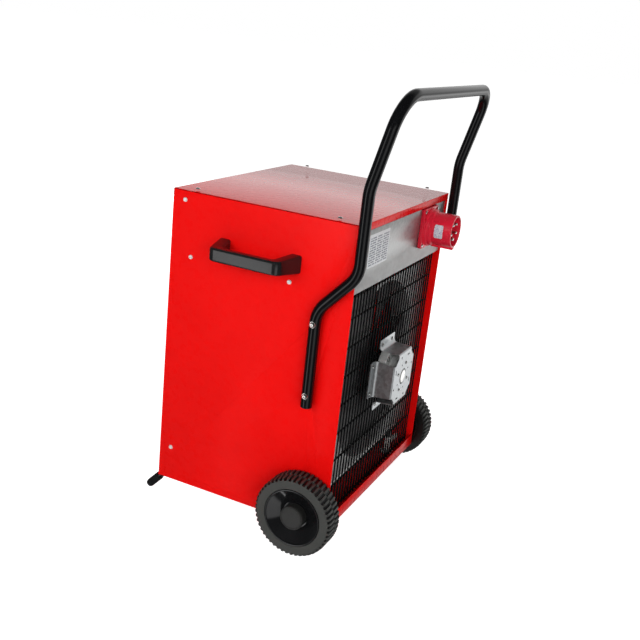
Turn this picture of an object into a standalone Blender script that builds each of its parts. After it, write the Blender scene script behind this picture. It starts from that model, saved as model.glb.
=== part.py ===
"""Wheeled commercial dehumidifier in a sheet-steel cabinet, in metres, +Z up.

The front, with the air intake, the water tank and the controls, faces -Y. The rear, with
the fan guard, the power inlet, the push handle and the wheels, faces +Y. Left is +X and
right is -X, as for a person who stands behind the machine and pushes it. The origin is on
the floor, under the middle of the whole machine's bounding box; the heights below are
measured from a level LIFT above the floor.
"""
import math

import bmesh
import bpy
from mathutils import Matrix, Vector

# ---- driving dimensions -------------------------------------------------------------
BODY_WIDTH = 0.494
BODY_DEPTH = 0.400
BODY_HEIGHT = 0.625
GROUND_CLEARANCE = 0.039
SHEET = 0.0015
GAP = 0.0004
LID_LIP = 0.015
PAN_UPSTAND = 0.026

WHEEL_RADIUS = 0.083
WHEEL_WIDTH = 0.052
TYRE_BORE = 0.0595
AXLE_RADIUS = 0.008
AXLE_Y = 0.148
AXLE_Z = 0.0795
RUNNING_CLEARANCE = 0.0001

TUBE_RADIUS = 0.0114
HANDLE_LEG_Y = 0.135
HANDLE_FOOT_Z = 0.298
HANDLE_BACK_Y = 0.2105
HANDLE_TOP_Y = 0.253
HANDLE_TOP_Z = 0.897
HANDLE_BOLT_HEIGHTS = (0.324, 0.468)
BOLT_RADIUS = 0.003

CARRY_Z = 0.5685
CARRY_STANDOFF = 0.066
CARRY_FOOT_HALF = 0.089
CARRY_BAR_HALF = 0.0735
CARRY_SECTION = (0.018, 0.0265)
CARRY_FOOT_HEIGHT = 0.0355

FOOT_ROD_RADIUS = 0.0075
FOOT_CAP_RADIUS = 0.0090
FOOT_CAP_REACH = 0.0093
FOOT_TIP = (0.2340, -0.2265)
FOOT_TIP_LIFT = 0.0086
FOOT_BAR_Y, FOOT_BAR_Z = -0.1856, 0.0500

GUARD_BAR = 0.003
GUARD_WIRES = 32
GUARD_HALF_WIDTH = 0.2340
GUARD_BOTTOM = 0.054
GUARD_TOP = 0.534
GUARD_FACE_Y = 0.188
SERVICE_PLATE_BOTTOM = 0.531
SERVICE_PLATE_Y = 0.1955

FAN_Z = 0.307
FAN_RADIUS = 0.186
FAN_BLADES = 5
SHAFT_RADIUS = 0.004
SHROUD_BORE = 0.1915
BRACKET_FACE_Y = 0.234
BRACKET_HALF = 0.057
BRACKET_EDGE_HALF = 0.0360
BRACKET_FOOT_HALF = 0.0400
BRACKET_FLANGE = 0.022
BRACKET_SHEET = 0.002

INLET_X = -0.131
INLET_Z = 0.605
INLET_FLANGE = 0.086
INLET_COLLAR_RADIUS = 0.035
INLET_FACE_Y = 0.263

INTAKE_HALF_WIDTH = 0.205
INTAKE_BOTTOM = 0.215
INTAKE_TOP = 0.525
TANK_HALF_WIDTH = 0.1365
TANK_BOTTOM = 0.0675
TANK_TOP = 0.166
TANK_BACK_Y = -0.080
TANK_WALL = 0.0025
CONTROL_Z = 0.602
KNOB_X = -0.130
SWITCH_X = 0.010
METER_X = 0.130
ROCKER_PIN_Y = -0.1935
ROCKER_TILT = math.radians(8)

# Cooling circuit
COMPRESSOR_AT = (0.110, 0.030)
COMPRESSOR_RADIUS = 0.066
COMPRESSOR_TOP = 0.247
MOUNT_CIRCLE = 0.080
COIL_HALF_WIDTH = 0.190
COIL_BOTTOM, COIL_TOP = 0.204, 0.528
EVAPORATOR_Y = (-0.180, -0.138)
CONDENSER_Y = (-0.128, -0.092)
LINE_RADIUS = 0.004
DRIER_Y = (-0.045, 0.035)
SIDE_LINE_X = 0.215
DRAIN_X, DRAIN_Y, DRAIN_RADIUS = -0.165, 0.166, 0.0085

# Condensate
TRAY_LOW = (-0.200, -0.186, 0.180)
TRAY_HIGH = (0.200, -0.084, 0.200)
TRAY_WALL = 0.002
TANK_OUTLET_AT = (-0.050, -0.135)
HOSE_OUTLET_AT = (DRAIN_X, -0.130)
FLOAT_AT = (0.090, -0.140)

# ---- places worked out from them ----------------------------------------------------
HALF_WIDTH = BODY_WIDTH / 2
HALF_DEPTH = BODY_DEPTH / 2
BODY_BOTTOM = GROUND_CLEARANCE
BODY_TOP = BODY_BOTTOM + BODY_HEIGHT
INNER_X = HALF_WIDTH - SHEET
FLOOR_Z = BODY_BOTTOM + SHEET
LID_UNDERSIDE = BODY_TOP - SHEET
LIP_BOTTOM = BODY_TOP - LID_LIP
HANDLE_X = HALF_WIDTH + GAP + TUBE_RADIUS
WHEEL_INNER_X = HALF_WIDTH + 0.002
WHEEL_OUTER_X = WHEEL_INNER_X + WHEEL_WIDTH
AXLE_HALF = WHEEL_OUTER_X - 0.008
REAR_MOST = HANDLE_TOP_Y + TUBE_RADIUS
FRONT_MOST = FOOT_TIP[1] - FOOT_CAP_REACH
CENTRE_SHIFT = -(REAR_MOST + FRONT_MOST) / 2
LIFT = WHEEL_RADIUS - AXLE_Z

# Finish of each material: linear colour, roughness, metallic
FINISHES = {
    "red_paint": ((0.79, 0.008, 0.008), 0.22, 0.0),
    "galvanised": ((0.56, 0.58, 0.59), 0.42, 0.9),
    "black_tube": ((0.010, 0.010, 0.011), 0.16, 0.0),
    "black_plastic": ((0.016, 0.016, 0.017), 0.45, 0.0),
    "black_rubber": ((0.020, 0.020, 0.021), 0.75, 0.0),
    "black_wire": ((0.012, 0.012, 0.012), 0.30, 0.0),
    "tyre_rubber": ((0.022, 0.023, 0.024), 0.52, 0.0),
    "crimson_plastic": ((0.60, 0.012, 0.030), 0.30, 0.0),
    "dark_red_plastic": ((0.22, 0.008, 0.014), 0.40, 0.0),
    "bright_steel": ((0.72, 0.72, 0.71), 0.22, 1.0),
    "fin_aluminium": ((0.62, 0.63, 0.64), 0.40, 0.9),
    "copper": ((0.72, 0.34, 0.20), 0.28, 1.0),
    "black_enamel": ((0.014, 0.014, 0.015), 0.30, 0.0),
    "white_plastic": ((0.80, 0.80, 0.77), 0.40, 0.0),
    "grey_plastic": ((0.20, 0.21, 0.22), 0.50, 0.0),
    "clear_hose": ((0.62, 0.66, 0.64), 0.25, 0.0),
    "motor_metal": ((0.50, 0.51, 0.52), 0.38, 0.9),
}


# ---- scene and material helpers -----------------------------------------------------
def clear_scene():
    """Remove every object that is already in the file."""
    for old in list(bpy.data.objects):
        bpy.data.objects.remove(old, do_unlink=True)


def material(slot):
    """Return the slot's material, made the first time it is asked for."""
    found = bpy.data.materials.get(slot)
    if found:
        return found
    colour, roughness, metallic = FINISHES[slot]
    made = bpy.data.materials.new(slot)
    made.use_nodes = True
    shader = made.node_tree.nodes["Principled BSDF"]
    shader.inputs["Base Color"].default_value = (*colour, 1.0)
    shader.inputs["Roughness"].default_value = roughness
    shader.inputs["Metallic"].default_value = metallic
    return made


def empty(name, at, parent=None):
    """Add an empty, which places the pieces parented to it."""
    made = bpy.data.objects.new(name, None)
    made.empty_display_size = 0.03
    bpy.context.scene.collection.objects.link(made)
    made.parent = parent
    made.location = at
    return made


def make(name, bm, slot, parent, at=(0, 0, 0), smooth=None, orient=True):
    """Turn a bmesh into a named object with its material."""
    if orient:
        bmesh.ops.recalc_face_normals(bm, faces=bm.faces)
    mesh = bpy.data.meshes.new(name)
    bm.to_mesh(mesh)
    bm.free()
    if smooth is not None:
        mesh.shade_smooth()
        mesh.set_sharp_from_angle(angle=math.radians(smooth))
    mesh.materials.append(material(slot))
    made = bpy.data.objects.new(name, mesh)
    bpy.context.scene.collection.objects.link(made)
    made.parent = parent
    made.location = at
    return made


def combine(target, label, bm, operation="DIFFERENCE", at=(0, 0, 0)):
    """Cut the target with a helper solid, or join the helper to it."""
    tool = make(f"{target.name}_{label}", bm, "grey_plastic", target.parent, at)
    tool.hide_render = True
    tool.display_type = "WIRE"
    change = target.modifiers.new(label, "BOOLEAN")
    change.operation = operation
    change.solver = "EXACT"
    change.object = tool


# ---- shape helpers ------------------------------------------------------------------
def box(low, high):
    """A block between two corners."""
    bm = bmesh.new()
    low, high = Vector(low), Vector(high)
    bmesh.ops.create_cube(bm, size=1.0)
    where = Matrix.LocRotScale((low + high) / 2, None, high - low)
    bmesh.ops.transform(bm, matrix=where, verts=bm.verts)
    return bm


def on_axis(axis, along, across):
    """A point at a distance along an axis, with its two other coordinates in order."""
    first, second = across
    if axis == "X":
        return Vector((along, first, second))
    if axis == "Y":
        return Vector((first, along, second))
    return Vector((first, second, along))


def prism(outline, axis, start, end):
    """A flat outline pushed along an axis."""
    bm = bmesh.new()
    low = [bm.verts.new(on_axis(axis, start, point)) for point in outline]
    high = [bm.verts.new(on_axis(axis, end, point)) for point in outline]
    bm.faces.new(low)
    bm.faces.new(high)
    for index in range(len(outline)):
        bm.faces.new((low[index - 1], low[index], high[index], high[index - 1]))
    return bm


def lathe(profile, axis, sides):
    """Turn (radius, place along the axis) points; a ring profile closes on itself."""
    bm = bmesh.new()
    rings = []
    for radius, along in profile:
        if radius == 0:
            rings.append([bm.verts.new(on_axis(axis, along, (0, 0)))] * sides)
            continue
        ring = []
        for step in range(sides):
            angle = 2 * math.pi * step / sides - math.pi / 2
            across = (radius * math.cos(angle), radius * math.sin(angle))
            ring.append(bm.verts.new(on_axis(axis, along, across)))
        rings.append(ring)
    pairs = list(zip(rings, rings[1:]))
    if profile[0][0] > 0:
        pairs.append((rings[-1], rings[0]))
    for one, two in pairs:
        for step in range(sides):
            after = (step + 1) % sides
            corners = dict.fromkeys((one[step], one[after], two[after], two[step]))
            if len(corners) > 2:
                bm.faces.new(list(corners))
    return bm


def cylinder(radius, axis, start, end, sides=16):
    """A plain round bar on an axis through the origin."""
    return lathe([(0, start), (radius, start), (radius, end), (0, end)], axis, sides)


def rounded(corners, radii, steps=5):
    """A path through the corners, with an arc of the given radius at each inner one."""
    corners = [Vector(corner) for corner in corners]
    path = [corners[0]]
    for before, corner, after, radius in zip(corners, corners[1:], corners[2:], radii):
        back = (before - corner).normalized()
        ahead = (after - corner).normalized()
        half = back.angle(ahead) / 2
        trim = radius / math.tan(half)
        centre = corner + (back + ahead).normalized() * (radius / math.sin(half))
        start = (corner + back * trim - centre).normalized()
        end = (corner + ahead * trim - centre).normalized()
        for step in range(steps + 1):
            path.append(centre + start.slerp(end, step / steps) * radius)
    path.append(corners[-1])
    return path


def tube(path, radius, sides):
    """A round bar swept along a path, with flat ends."""
    bm = bmesh.new()
    rings = []
    side = None
    for index, point in enumerate(path):
        before = path[max(index - 1, 0)]
        after = path[min(index + 1, len(path) - 1)]
        ahead = (after - before).normalized()
        if side is None:
            side = ahead.orthogonal().normalized()
        side = (side - ahead * side.dot(ahead)).normalized()
        other = ahead.cross(side)
        ring = []
        for step in range(sides):
            angle = 2 * math.pi * step / sides
            reach = side * math.cos(angle) + other * math.sin(angle)
            ring.append(bm.verts.new(point + reach * radius))
        rings.append(ring)
    for one, two in zip(rings, rings[1:]):
        for step in range(sides):
            after = (step + 1) % sides
            bm.faces.new((one[step], one[after], two[after], two[step]))
    bm.faces.new(rings[0])
    bm.faces.new(rings[-1])
    return bm


# ---- cabinet ------------------------------------------------------------------------
def base_pan(machine):
    """Folded steel tray that carries the compressor, the tank and the axle."""
    reach = INNER_X - GAP
    top = BODY_BOTTOM + PAN_UPSTAND
    pan = make("base_pan", box((-reach, -HALF_DEPTH, BODY_BOTTOM), (reach, HALF_DEPTH, top)),
               "red_paint", machine)
    inside = reach - SHEET
    combine(pan, "hollow", box((-inside, SHEET - HALF_DEPTH, FLOOR_Z),
                               (inside, HALF_DEPTH - SHEET, top + SHEET)))
    combine(pan, "drain_hole", cylinder(DRAIN_RADIUS + GAP, "Z", 0.0, FLOOR_Z + SHEET),
            at=(DRAIN_X, DRAIN_Y, 0))
    combine(pan, "leg_holes", tube(foot_line(), FOOT_ROD_RADIUS + 2 * GAP, 16))
    return pan


def side_panel(name, side, machine):
    """Flat steel side, notched at its top corners for the lid's lips."""
    tall = LID_UNDERSIDE - GAP
    notch = LIP_BOTTOM - GAP
    narrow = HALF_DEPTH - SHEET - GAP
    outline = [(-HALF_DEPTH, BODY_BOTTOM), (HALF_DEPTH, BODY_BOTTOM), (HALF_DEPTH, notch),
               (narrow, notch), (narrow, tall), (-narrow, tall), (-narrow, notch),
               (-HALF_DEPTH, notch)]
    start, end = sorted((side * INNER_X, side * HALF_WIDTH))
    panel = make(name, prism(outline, "X", start, end), "red_paint", machine)
    through = (start - SHEET, end + SHEET)
    combine(panel, "axle_hole", cylinder(AXLE_RADIUS + GAP, "X", *through),
            at=(0, AXLE_Y, AXLE_Z))
    for height in HANDLE_BOLT_HEIGHTS:
        combine(panel, f"bolt_hole_{round(height * 1000)}",
                cylinder(BOLT_RADIUS + GAP, "X", *through, sides=10),
                at=(0, HANDLE_LEG_Y, height))
    return panel


def top_cover(machine):
    """Lid whose front and rear edges fold down over the cabinet."""
    inner = HALF_DEPTH - SHEET
    outline = [(-HALF_DEPTH, LIP_BOTTOM), (-HALF_DEPTH, BODY_TOP), (HALF_DEPTH, BODY_TOP),
               (HALF_DEPTH, LIP_BOTTOM), (inner, LIP_BOTTOM), (inner, LID_UNDERSIDE),
               (-inner, LID_UNDERSIDE), (-inner, LIP_BOTTOM)]
    return make("top_cover", prism(outline, "X", -HALF_WIDTH, HALF_WIDTH), "red_paint", machine)


def front_panel(machine):
    """Steel front with openings for the filter, the tank and the controls."""
    reach = INNER_X - GAP
    back = SHEET - HALF_DEPTH
    before, behind = -HALF_DEPTH - SHEET, back + SHEET
    panel = make("front_panel",
                 box((-reach, -HALF_DEPTH, BODY_BOTTOM + PAN_UPSTAND + GAP),
                     (reach, back, LIP_BOTTOM - GAP)), "red_paint", machine)
    combine(panel, "intake", box((-INTAKE_HALF_WIDTH, before, INTAKE_BOTTOM),
                                 (INTAKE_HALF_WIDTH, behind, INTAKE_TOP)))
    wide = TANK_HALF_WIDTH + 0.002
    combine(panel, "tank_mouth", box((-wide, before, BODY_BOTTOM),
                                     (wide, behind, TANK_TOP + 0.004)))
    combine(panel, "knob_hole", cylinder(0.006, "Y", before, behind), at=(KNOB_X, 0, CONTROL_Z))
    combine(panel, "switch_hole", box((-0.0142, before, -0.0192), (0.0142, behind, 0.0192)),
            at=(SWITCH_X, 0, CONTROL_Z))
    combine(panel, "meter_hole", box((-0.0183, before, -0.0123), (0.0183, behind, 0.0123)),
            at=(METER_X, 0, CONTROL_Z))
    return panel


def rear_service_plate(machine):
    """Galvanised plate that closes the electrical bay and carries the power inlet."""
    reach = INNER_X - GAP
    return make("rear_service_plate",
                box((-reach, SERVICE_PLATE_Y - SHEET, SERVICE_PLATE_BOTTOM),
                    (reach, SERVICE_PLATE_Y, LID_UNDERSIDE - GAP)), "galvanised", machine)


def divider_shelf(machine):
    """Shelf between the air path and the electrical bay above it."""
    reach = INNER_X - GAP
    return make("divider_shelf", box((-reach, -0.186, 0.5395), (reach, 0.192, 0.5410)),
                "galvanised", machine)


# ---- rear guard, bracket, motor and fan ---------------------------------------------
def rear_guard(machine):
    """Upright guard wires held by a top, a middle and a bottom cross wire."""
    bar = GUARD_BAR
    pitch = (2 * GUARD_HALF_WIDTH - bar) / (GUARD_WIRES - 1)
    columns = []
    for wire in range(GUARD_WIRES):
        left = -GUARD_HALF_WIDTH + wire * pitch
        columns.extend((left, left + bar))
    middle = (GUARD_BOTTOM + GUARD_TOP) / 2
    rows = []
    for height in (GUARD_BOTTOM, middle, GUARD_TOP - bar):
        rows.extend((height, height + bar))
    bm = bmesh.new()
    points = {}
    for depth in (GUARD_FACE_Y - bar, GUARD_FACE_Y):
        for x in columns:
            for z in rows:
                points[depth, x, z] = bm.verts.new((x, depth, z))

    def solid(column, row):
        inside = 0 <= column < len(columns) - 1 and 0 <= row < len(rows) - 1
        return inside and (column % 2 == 0 or row % 2 == 0)

    near, far = GUARD_FACE_Y, GUARD_FACE_Y - bar
    for column in range(-1, len(columns) - 1):
        for row in range(-1, len(rows) - 1):
            here = solid(column, row)
            if here:
                for depth in (near, far):
                    bm.faces.new([points[depth, columns[c], rows[r]] for c, r in
                                  ((column, row), (column + 1, row),
                                   (column + 1, row + 1), (column, row + 1))])
            if here != solid(column + 1, row) and row >= 0:
                x = columns[column + 1]
                bm.faces.new((points[near, x, rows[row]], points[near, x, rows[row + 1]],
                              points[far, x, rows[row + 1]], points[far, x, rows[row]]))
            if here != solid(column, row + 1) and column >= 0:
                z = rows[row + 1]
                bm.faces.new((points[near, columns[column], z], points[near, columns[column + 1], z],
                              points[far, columns[column + 1], z], points[far, columns[column], z]))
    return make("rear_guard", bm, "black_wire", machine)


def motor_bracket(machine):
    """Pressed bracket: an eight-sided face on four legs, each with a screwed flange."""
    face, foot = BRACKET_FACE_Y, GUARD_FACE_Y + GAP + BRACKET_SHEET
    half, edge, wide = BRACKET_HALF, BRACKET_EDGE_HALF, BRACKET_FOOT_HALF
    flange = half + BRACKET_FLANGE
    bm = bmesh.new()
    corners = []
    legs = []
    for turn in range(4):
        spin = Matrix.Rotation(turn * math.pi / 2, 3, "Y")
        top = [bm.verts.new(spin @ Vector((x, face, half))) for x in (-edge, edge)]
        knee = [bm.verts.new(spin @ Vector((x, foot, half))) for x in (-wide, wide)]
        toe = [bm.verts.new(spin @ Vector((x, foot, flange))) for x in (-wide, wide)]
        corners.extend(top)
        legs.append((spin @ Vector((0, 0, 1)), top, knee, toe))

    def sheet(points, outward):
        made = bm.faces.new(points)
        made.normal_update()
        if made.normal.dot(outward) < 0:
            made.normal_flip()

    sheet(corners, Vector((0, 1, 0)))
    for outward, top, knee, toe in legs:
        sheet((top[0], top[1], knee[1], knee[0]), outward)
        sheet((knee[0], knee[1], toe[1], toe[0]), Vector((0, 1, 0)))
    bracket = make("motor_bracket", bm, "galvanised", machine, (0, 0, FAN_Z), orient=False)
    thick = bracket.modifiers.new("sheet", "SOLIDIFY")
    thick.thickness = BRACKET_SHEET
    thick.offset = -1
    thick.use_even_offset = True
    combine(bracket, "centre_hole", cylinder(0.0175, "Y", face - 0.01, face + 0.01, sides=24),
            at=(0, 0, FAN_Z))
    return bracket


def fan_motor(machine):
    """Round motor held by the bracket, with a blind bore for its shaft."""
    front, back = GUARD_FACE_Y + 0.001, BRACKET_FACE_Y - BRACKET_SHEET - 0.0012
    bore = SHAFT_RADIUS + RUNNING_CLEARANCE
    profile = [(0, front + 0.034), (bore, front + 0.034), (bore, front), (0.015, front),
               (0.017, front + 0.005), (0.044, front + 0.006), (0.049, front + 0.011),
               (0.049, back - 0.006), (0.044, back), (0.0150, back), (0.0130, back + 0.0032),
               (0, back + 0.0038)]
    return make("fan_motor", lathe(profile, "Y", 20), "motor_metal", machine, (0, 0, FAN_Z),
                smooth=35)


def motor_shaft(fan_axis):
    """Steel shaft from inside the motor to the fan's hub."""
    return make("motor_shaft",
                cylinder(SHAFT_RADIUS, "Y", 0.128, GUARD_FACE_Y + 0.034, sides=24),
                "bright_steel", fan_axis, smooth=35)


def fan_blade(turn):
    """One twisted blade that widens from its root, inside the hub, to its tip."""
    root, tip, thickness = 0.027, FAN_RADIUS, 0.0024
    spans, chords = 4, 4
    bm = bmesh.new()
    layers = []
    for lift in (-thickness / 2, thickness / 2):
        layer = []
        for span in range(spans + 1):
            share = span / spans
            radius = root + (tip - root) * share
            sweep = math.radians(17 + 10 * share)
            rise = 0.013 - 0.001 * share
            row = []
            for chord in range(chords + 1):
                place = 2 * chord / chords - 1
                angle = turn + place * sweep
                depth = 0.149 + place * rise + lift
                row.append(bm.verts.new((radius * math.sin(angle), depth,
                                         radius * math.cos(angle))))
            layer.append(row)
        layers.append(layer)
    low, high = layers
    for span in range(spans):
        for chord in range(chords):
            for layer in layers:
                bm.faces.new((layer[span][chord], layer[span + 1][chord],
                              layer[span + 1][chord + 1], layer[span][chord + 1]))
        for chord in (0, chords):
            bm.faces.new((low[span][chord], low[span + 1][chord],
                          high[span + 1][chord], high[span][chord]))
    for chord in range(chords):
        for span in (0, spans):
            bm.faces.new((low[span][chord], low[span][chord + 1],
                          high[span][chord + 1], high[span][chord]))
    return bm


def fan_impeller(fan_axis):
    """Axial fan: a hub clear of the shaft by a hair, with broad blades."""
    bore = SHAFT_RADIUS + 0.0003
    profile = [(bore, 0.131), (0.031, 0.131), (0.036, 0.136), (0.036, 0.167), (bore, 0.167)]
    fan = make("fan_impeller", lathe(profile, "Y", 24), "black_plastic", fan_axis)
    for blade in range(FAN_BLADES):
        combine(fan, f"blade_{blade}", fan_blade(2 * math.pi * blade / FAN_BLADES), "UNION")
    return fan


def fan_shroud(machine):
    """Plate with a short ring round the fan, which leads all the air through it."""
    reach = INNER_X - GAP
    plate_back, plate_front, ring_front = 0.1720, 0.1705, 0.1270
    tall = SHROUD_BORE + 0.0075
    shroud = make("fan_shroud", box((-reach, plate_front, FAN_Z - tall),
                                    (reach, plate_back, FAN_Z + tall)), "galvanised", machine)
    combine(shroud, "ring", cylinder(SHROUD_BORE + SHEET, "Y", ring_front, plate_back - 0.0004,
                                     sides=36), "UNION", at=(0, 0, FAN_Z))
    combine(shroud, "bore", cylinder(SHROUD_BORE, "Y", ring_front - 0.01, plate_back + 0.01,
                                     sides=36), at=(0, 0, FAN_Z))
    low, high = 0.250, FAN_Z + tall
    outline = [(0.062, low), (0.125, low + 0.008), (reach, low + 0.080), (reach, high),
               (0.062, high)]
    combine(shroud, "cover", prism(outline, "Y", plate_back - 0.0005, plate_back + SHEET),
            "UNION")
    return shroud


# ---- push handle, carry handles, wheels and foot ------------------------------------
def push_handle(machine):
    """One bent tube: up each side, out to the rear, then across as the push bar."""
    half = [(HANDLE_LEG_Y, HANDLE_FOOT_Z), (HANDLE_LEG_Y, 0.492), (HANDLE_BACK_Y, 0.575),
            (HANDLE_BACK_Y, 0.731), (HANDLE_TOP_Y, HANDLE_TOP_Z)]
    corners = [(HANDLE_X, y, z) for y, z in half]
    corners += [(-HANDLE_X, y, z) for y, z in reversed(half)]
    bends = [0.060, 0.060, 0.120, 0.058]
    path = rounded(corners, bends + bends[::-1], steps=4)
    handle = make("push_handle", tube(path, TUBE_RADIUS, 10), "black_tube", machine, smooth=35)
    for side in (-1, 1):
        for height in HANDLE_BOLT_HEIGHTS:
            start, end = sorted((side * (HALF_WIDTH - 0.005), side * (HANDLE_X + 0.02)))
            combine(handle, f"bolt_hole_{side + 1}_{round(height * 1000)}",
                    cylinder(BOLT_RADIUS + GAP, "X", start, end, sides=10),
                    at=(0, HANDLE_LEG_Y, height))
    return handle


def handle_bolt(name, side, height, machine):
    """Button-head bolt through the handle's leg and the side panel."""
    head = HANDLE_X + TUBE_RADIUS + GAP
    profile = [(0, INNER_X - 0.012), (BOLT_RADIUS, INNER_X - 0.012), (BOLT_RADIUS, head),
               (0.0055, head), (0.0050, head + 0.002), (0.0035, head + 0.0032), (0, head + 0.0036)]
    profile = [(radius, side * along) for radius, along in profile]
    return make(name, lathe(profile, "X", 12), "bright_steel", machine,
                (0, HANDLE_LEG_Y, height), smooth=35)


def carry_handle(name, side, machine):
    """Moulded grip whose arms widen and grow taller towards the side panel."""
    thick, tall = CARRY_SECTION
    panel = HALF_WIDTH + GAP
    outer = panel + CARRY_STANDOFF - GAP
    inner = outer - thick
    foot, bar = CARRY_FOOT_HALF, CARRY_BAR_HALF
    grip = rounded([(panel, -foot, 0), (outer, -bar, 0), (outer, bar, 0), (panel, foot, 0)],
                   [0.015, 0.015])
    hand = rounded([(panel, 0.024 - foot, 0), (inner, 0.020 - bar, 0),
                    (inner, bar - 0.020, 0), (panel, foot - 0.024, 0)], [0.010, 0.010])
    bm = bmesh.new()
    rings = []
    for outside, inside in zip(grip, hand):
        ring = []
        for point, level in ((outside, 1), (inside, 1), (inside, -1), (outside, -1)):
            share = max(0.0, (inner - point.x) / (inner - panel))
            half = (tall + (CARRY_FOOT_HEIGHT - tall) * share) / 2
            ring.append(bm.verts.new((side * point.x, point.y, CARRY_Z + level * half)))
        rings.append(ring)
    for one, two in zip(rings, rings[1:]):
        for step in range(4):
            after = (step + 1) % 4
            bm.faces.new((one[step], one[after], two[after], two[step]))
    bm.faces.new(rings[0])
    bm.faces.new(rings[-1])
    return make(name, bm, "black_plastic", machine)


def axle(machine):
    """Steel rod through both side panels, above the floor of the base pan."""
    return make("axle", cylinder(AXLE_RADIUS, "X", -AXLE_HALF, AXLE_HALF, sides=24),
                "bright_steel", machine, (0, AXLE_Y, AXLE_Z), smooth=35)


def rim(name, side, joint):
    """Moulded rim: a drum that carries the tyre, a deep cone and a hub on the axle."""
    inner, outer = WHEEL_INNER_X, WHEEL_OUTER_X
    bore = AXLE_RADIUS + RUNNING_CLEARANCE
    drum = TYRE_BORE - GAP
    profile = [(bore, inner), (0.020, inner), (0.023, inner + 0.012), (0.052, inner + 0.012),
               (0.055, inner + 0.003), (drum, inner + 0.003), (drum, outer - 0.002),
               (drum - 0.0012, outer - 0.004), (0.0300, outer - 0.018), (bore, outer - 0.018)]
    profile = [(radius, side * along) for radius, along in profile]
    return make(name, lathe(profile, "X", 28), "black_plastic", joint, smooth=30)


def tyre(name, side, joint):
    """Solid tyre on the rim's drum."""
    inner, outer = WHEEL_INNER_X + 0.001, WHEEL_OUTER_X - 0.0005
    shoulder = 0.007
    profile = [(TYRE_BORE, inner + 0.002), (TYRE_BORE + 0.0005, inner),
               (WHEEL_RADIUS - 0.005, inner), (WHEEL_RADIUS, inner + shoulder),
               (WHEEL_RADIUS, outer - shoulder), (WHEEL_RADIUS - 0.005, outer),
               (TYRE_BORE + 0.0005, outer), (TYRE_BORE, outer - 0.002)]
    profile = [(radius, side * along) for radius, along in profile]
    return make(name, lathe(profile, "X", 32), "tyre_rubber", joint, smooth=30)


def hub_cap(name, side, joint):
    """Cap pushed over the axle's end, turning with the wheel."""
    outer = WHEEL_OUTER_X
    root = outer - 0.018 + GAP
    profile = [(0, outer - 0.0065), (0.0100, outer - 0.0065), (0.0100, root), (0.0250, root),
               (0.0250, outer - 0.004), (0.0235, outer), (0.0150, outer + 0.0015),
               (0, outer + 0.002)]
    profile = [(radius, side * along) for radius, along in profile]
    return make(name, lathe(profile, "X", 24), "black_plastic", joint, smooth=30)


def foot_path():
    """Middle line of the foot rod: a bar across the pan, its legs out forward and down."""
    tip_x, tip_y = FOOT_TIP
    tip = Vector((tip_x, tip_y, FOOT_TIP_LIFT - LIFT))
    corner = Vector((tip_x, FOOT_BAR_Y, FOOT_BAR_Z))
    mirrored = [Vector((-point.x, point.y, point.z)) for point in (corner, tip)]
    return [tip, corner, *mirrored]


def foot_line():
    """The foot rod's middle line with its bends."""
    return rounded(foot_path(), [0.018, 0.018], steps=4)


def front_foot(machine):
    """Bent steel rod in the front of the pan, whose legs stand on the floor."""
    return make("front_foot", tube(foot_line(), FOOT_ROD_RADIUS, 10), "black_tube", machine,
                smooth=35)


def foot_cap(name, side, machine):
    """Rubber sleeve on a leg's end, flat where it stands on the floor."""
    tip, corner = (Vector((side * point.x, point.y, point.z)) for point in foot_path()[:2])
    ahead = (tip - corner).normalized()
    radius, bore = FOOT_CAP_RADIUS, FOOT_ROD_RADIUS + GAP
    profile = [(0, 0.0004), (bore, 0.0004), (bore, -0.026), (radius, -0.026), (radius, 0.0005),
               (radius * 0.87, 0.0050), (radius * 0.5, 0.0083), (0, radius + 0.0005)]
    bm = lathe(profile, "Y", 20)
    aim = ahead.to_track_quat("Y", "Z").to_matrix().to_4x4()
    bmesh.ops.transform(bm, matrix=Matrix.Translation(tip) @ aim, verts=bm.verts)
    cap = make(name, bm, "black_rubber", machine)
    reach = 0.03
    combine(cap, "floor", box((tip.x - reach, tip.y - reach, -LIFT - reach),
                              (tip.x + reach, tip.y + reach, -LIFT)))
    return cap


# ---- power inlet --------------------------------------------------------------------
def power_inlet_housing(machine):
    """Square flange and keyed round collar of the five-pin inlet."""
    half, radius = INLET_FLANGE / 2, INLET_COLLAR_RADIUS
    plate = SERVICE_PLATE_Y + GAP
    shoulder = plate + 0.012
    at = (INLET_X, 0, INLET_Z)
    housing = make("power_inlet_housing", box((-half, plate, -half), (half, shoulder, half)),
                   "crimson_plastic", machine, at)
    combine(housing, "collar", cylinder(radius, "Y", plate + 0.004, INLET_FACE_Y, sides=32),
            "UNION", at)
    combine(housing, "key", box((-0.005, shoulder - 0.004, -radius - 0.004),
                                (0.005, INLET_FACE_Y - 0.001, -radius + 0.002)), "UNION", at)
    combine(housing, "mouth", cylinder(radius - 0.0035, "Y", shoulder + 0.010,
                                       INLET_FACE_Y + 0.01, sides=32), at=at)
    return housing


def power_inlet_insert(machine):
    """Insulating disc at the bottom of the collar, with its five contact pins."""
    seat = SERVICE_PLATE_Y + 0.0127 + 0.010
    at = (INLET_X, 0, INLET_Z)
    insert = make("power_inlet_insert", cylinder(INLET_COLLAR_RADIUS - 0.0042, "Y", seat,
                                                 seat + 0.006, sides=32),
                  "dark_red_plastic", machine, at)
    for pin in range(5):
        angle = 2 * math.pi * pin / 5 - math.pi / 2
        radius = 0.0040 if pin == 0 else 0.0032
        centre = (INLET_X + 0.0175 * math.cos(angle), 0, INLET_Z + 0.0175 * math.sin(angle))
        combine(insert, f"pin_{pin}", cylinder(radius, "Y", seat + 0.002, INLET_FACE_Y - 0.008,
                                               sides=12), "UNION", centre)
    return insert


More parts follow.
